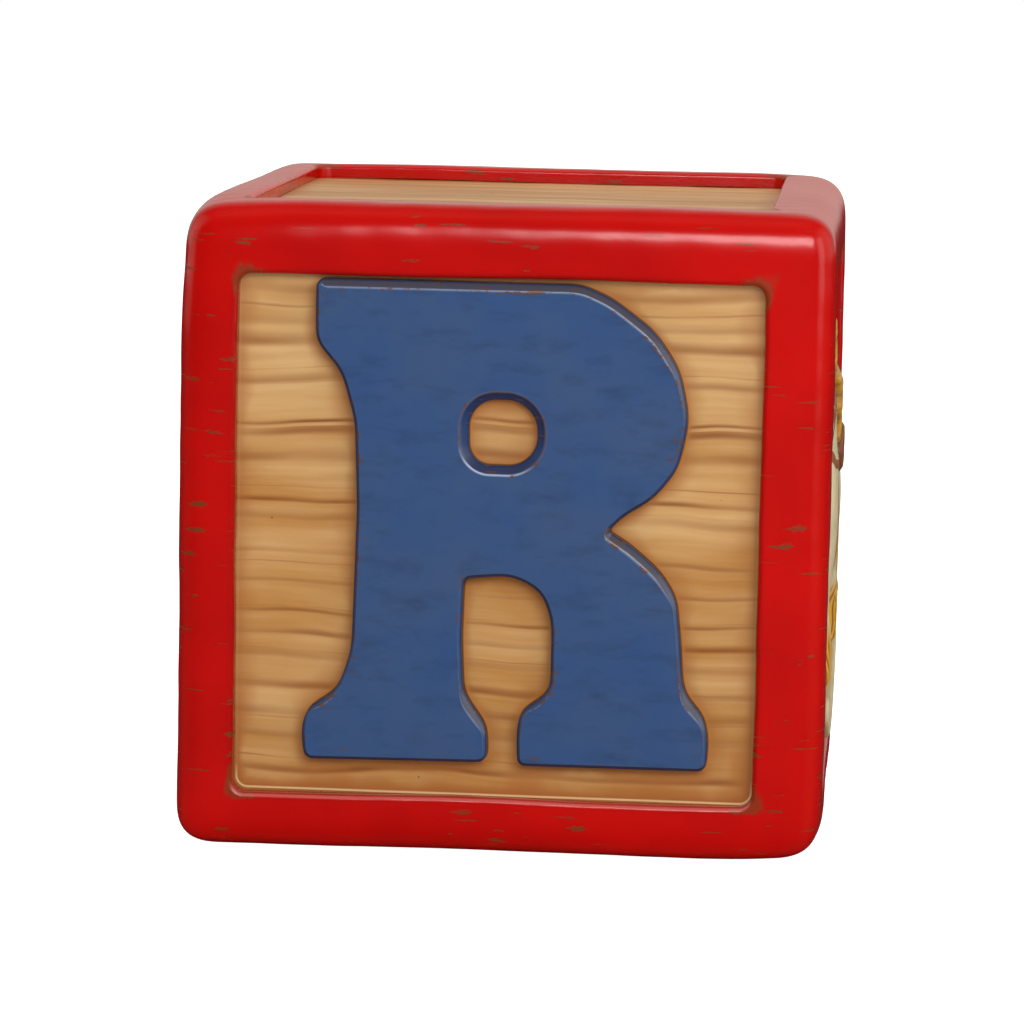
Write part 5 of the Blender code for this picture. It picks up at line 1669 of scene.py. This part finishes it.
class BLOCK_OT_horses(bpy.types.Operator):
    """Make the rocking horse on the right and the left"""

    bl_idname = "letter_block.horses"
    bl_label = "Rocking horses"

    def execute(self, context):
        sizes = context.scene.letter_block_horses
        colours = context.scene.letter_block_paints
        coat = horse_coat(colours)
        cream = painted("cream_rocker_paint", colours.cream, colours.cream_glaze)[0]
        gold = painted("golden_hair_paint", colours.gold, colours.gold_glaze, colours.gold_glaze)[0]
        leather = painted("leather_brown_paint", colours.leather, colours.leather_glaze, roughness=0.35)[0]
        loops = horse_loops()
        reliefs = (
            ("body", body_relief(sizes, loops), coat, "coat"),
            ("saddle", saddle_relief(sizes, loops), leather, "saddle"),
            ("rocker", rocker_relief(sizes, loops), cream, "coat"),
            ("mane", hair_relief("mane", loops, sizes.mane_proud), gold, "hair"),
            ("tail", hair_relief("tail", loops, sizes.tail_proud), gold, "hair"),
        )
        for face in ("right", "left"):
            for kind, made, material, slot in reliefs:
                name = f"horse_{kind}_{face}_painted"
                add_piece(name, relief_mesh(name, face, made), material, slot, f"horse_{kind}_{face}")
        return {"FINISHED"}


class BLOCK_OT_fittings(bpy.types.Operator):
    """Give the base board, its screws and the corner blocks their finishes"""

    bl_idname = "letter_block.fittings"
    bl_label = "Base and fittings"

    def execute(self, context):
        colours = context.scene.letter_block_paints
        finishes = {
            "base_board": plain_wood("birch_plywood", colours.plywood, colours.plywood_dark, 1.2),
            "corner_block": plain_wood("planed_beech", colours.beech, colours.beech_dark, 0.9),
            "base_screw": zinc_steel(colours.zinc, colours.zinc_dark),
        }
        for node_name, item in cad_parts.items():
            for start, material in finishes.items():
                if node_name.startswith(start):
                    item.material_slots[0].material = material
        return {"FINISHED"}


class BLOCK_OT_stage(bpy.types.Operator):
    """Make the floor, the light and the camera"""

    bl_idname = "letter_block.stage"
    bl_label = "Stage"

    def execute(self, context):
        settings = context.scene.letter_block_stage
        context.scene.view_settings.view_transform = "Standard"
        add_floor(settings.floor_size)
        add_room(context.scene, settings.room_light)
        for name, setting, place, size, unseen_by in LAMPS:
            lamp = add_lamp(name, getattr(settings, setting), place, (0, 0, HALF), size)
            for rays in unseen_by:
                setattr(lamp, rays, False)
        add_camera(context.scene, settings)
        return {"FINISHED"}


# Lamps: name, setting of its power, place, width and height, and the rays that don't see it
LAMPS = (
    ("key_light", "key_power", (1.4, -4.1, 2.25), (4.1, 1.9), ("visible_glossy",)),
    ("strip_light", "strip_power", (1.4, -4.1, 2.45), (3.8, 1.4), ("visible_diffuse",)),
    ("right_light", "right_power", (3.6, -1.6, 1.3), (1.6, 2.4), ()),
    ("top_light", "top_power", (0, 0.6, 3.2), (3.0, 3.0), ("visible_glossy",)),
)


def background_ray(tree):
    """1 for a ray in gloss, and 1 for a ray that shows the background: the camera's, or one through glass."""
    path = node(tree, "LightPath").outputs
    seen = (path["Is Camera Ray"], path["Is Transmission Ray"])
    return path["Is Glossy Ray"], node(tree, "Math", seen, operation="MAXIMUM")


def add_floor(size):
    """A pale matt floor. What it lacks to white is added for the camera, so that shadows stay, and gloss
    sees it nearly black."""
    half = size / 2
    points = np.array([(-half, -half, 0), (half, -half, 0), (half, half, 0), (-half, half, 0)])
    mesh = new_mesh("floor", points, np.array([[0, 1, 2, 3]]))
    floor = bpy.data.objects.new("floor", mesh)
    bpy.context.scene.collection.objects.link(floor)
    material = bpy.data.materials.new("matt_pale_floor")
    material.use_nodes = True
    tree = material.node_tree
    tree.nodes.clear()
    glossy, shown = background_ray(tree)
    pale = node(tree, "MapRange", (glossy, 0.0, 1.0, 0.68, 0.03))
    tone = node(tree, "CombineColor", {"Red": pale, "Green": pale, "Blue": pale})
    matt = node(tree, "BsdfDiffuse", {"Color": tone})
    lift = node(tree, "Emission", {"Color": (1, 1, 1, 1), "Strength": shown})
    both = node(tree, "AddShader", (matt, lift))
    output = node(tree, "OutputMaterial")
    tree.links.new(both.outputs[0], output.inputs["Surface"])
    mesh.materials.append(material)


def add_room(scene, strength):
    """Even pale light from all round. The background is white, and gloss shows white walls beside the
    block, a dimmer one behind it and a dark room on the camera's side."""
    world = bpy.data.worlds.new("pale_room")
    scene.world = world
    world.use_nodes = True
    tree = world.node_tree
    tree.nodes.clear()
    glossy, shown = background_ray(tree)
    aim = node(tree, "TexCoord").outputs["Generated"]
    parted = node(tree, "SeparateXYZ", {"Vector": aim})
    right, back = parted.outputs["X"], parted.outputs["Y"]
    wide = node(tree, "Math", (right,), operation="ABSOLUTE")
    wide = node(tree, "MapRange", (wide, 0.55, 0.85, 0.0, 0.65))
    aslant = node(tree, "Math", (right, 0.2, back), operation="MULTIPLY_ADD")
    beside = node(tree, "MapRange", (aslant, -0.4, -0.2, 0.0, 1.4))
    beside = node(tree, "Math", (beside, wide), operation="MULTIPLY")
    behind = node(tree, "MapRange", (back, 0.5, 1.0, 0.0, 0.58))
    walls = node(tree, "Math", (beside, behind), operation="MAXIMUM")
    gloss = node(tree, "Math", (walls, glossy), operation="MULTIPLY")
    white = node(tree, "Math", (shown, gloss), operation="MAXIMUM")
    even = node(tree, "Math", (shown, glossy), operation="MAXIMUM")
    even = node(tree, "MapRange", (even, 0.0, 1.0, strength, 0.0))
    total = node(tree, "Math", (white, even), operation="ADD")
    tones = {"Factor": glossy, "A": (1, 1, 1, 1), "B": colour("#FFF7EC")}
    tinted = node(tree, "Mix", tones, data_type="RGBA")
    light = node(tree, "Background", {"Color": tinted, "Strength": total})
    output = node(tree, "OutputWorld")
    tree.links.new(light.outputs[0], output.inputs["Surface"])


def add_lamp(name, power, place, aim, size):
    """A large rectangular soft lamp, of that width and height, that looks at a point."""
    data = bpy.data.lights.new(name, "AREA")
    data.energy = power
    data.shape = "RECTANGLE"
    data.size, data.size_y = size
    lamp = bpy.data.objects.new(name, data)
    bpy.context.scene.collection.objects.link(lamp)
    lamp.location = place
    lamp.rotation_euler = (Vector(aim) - Vector(place)).to_track_quat("-Z", "Y").to_euler()
    return lamp


def add_camera(scene, settings):
    """The camera, placed and turned as the reference picture was taken, with a long lens."""
    data = bpy.data.cameras.new("camera")
    data.sensor_width = 36
    data.lens = settings.focal_length
    data.clip_end = 100
    camera = bpy.data.objects.new("camera", data)
    scene.collection.objects.link(camera)
    level = Matrix.Rotation(math.pi / 2, 4, "X")
    turn = Matrix.Rotation(settings.camera_turn, 4, "Z")
    tilt = Matrix.Rotation(-settings.camera_tilt, 4, "X")
    roll = Matrix.Rotation(settings.camera_roll, 4, "Z")
    place = Matrix.Translation((settings.camera_across, -settings.camera_back, settings.camera_height))
    camera.matrix_world = place @ turn @ tilt @ level @ roll
    scene.camera = camera


class BLOCK_PT_letter_block(bpy.types.Panel):
    """Lists the block's steps and settings"""

    bl_idname = "BLOCK_PT_letter_block"
    bl_label = "Letter Block"
    bl_space_type = "VIEW_3D"
    bl_region_type = "UI"
    bl_category = "Letter Block"

    def draw(self, context):
        for operator in OPERATORS:
            self.layout.operator(operator.bl_idname)
        for name, group in GROUPS.items():
            box = self.layout.box()
            for setting in group.__annotations__:
                box.prop(getattr(context.scene, name), setting)


GROUPS = {
    "letter_block_rails": RailSettings,
    "letter_block_letters": LetterSettings,
    "letter_block_horses": HorseSettings,
    "letter_block_paints": PaintSettings,
    "letter_block_stage": StageSettings,
}
OPERATORS = (
    BLOCK_OT_rails,
    BLOCK_OT_panels,
    BLOCK_OT_letters,
    BLOCK_OT_horses,
    BLOCK_OT_fittings,
    BLOCK_OT_stage,
)


def register():
    for group in GROUPS.values():
        bpy.utils.register_class(group)
    for operator in (*OPERATORS, BLOCK_PT_letter_block):
        bpy.utils.register_class(operator)
    for name, group in GROUPS.items():
        setattr(bpy.types.Scene, name, bpy.props.PointerProperty(type=group))


def unregister():
    for name in GROUPS:
        delattr(bpy.types.Scene, name)
    for item in (BLOCK_PT_letter_block, *reversed(OPERATORS), *GROUPS.values()):
        bpy.utils.unregister_class(item)


def main():
    """Makes the block piece by piece."""
    register()
    bpy.ops.letter_block.rails()
    bpy.ops.letter_block.panels()
    bpy.ops.letter_block.letters()
    bpy.ops.letter_block.horses()
    bpy.ops.letter_block.fittings()
    bpy.ops.letter_block.stage()


if __name__ == "__main__":
    main()
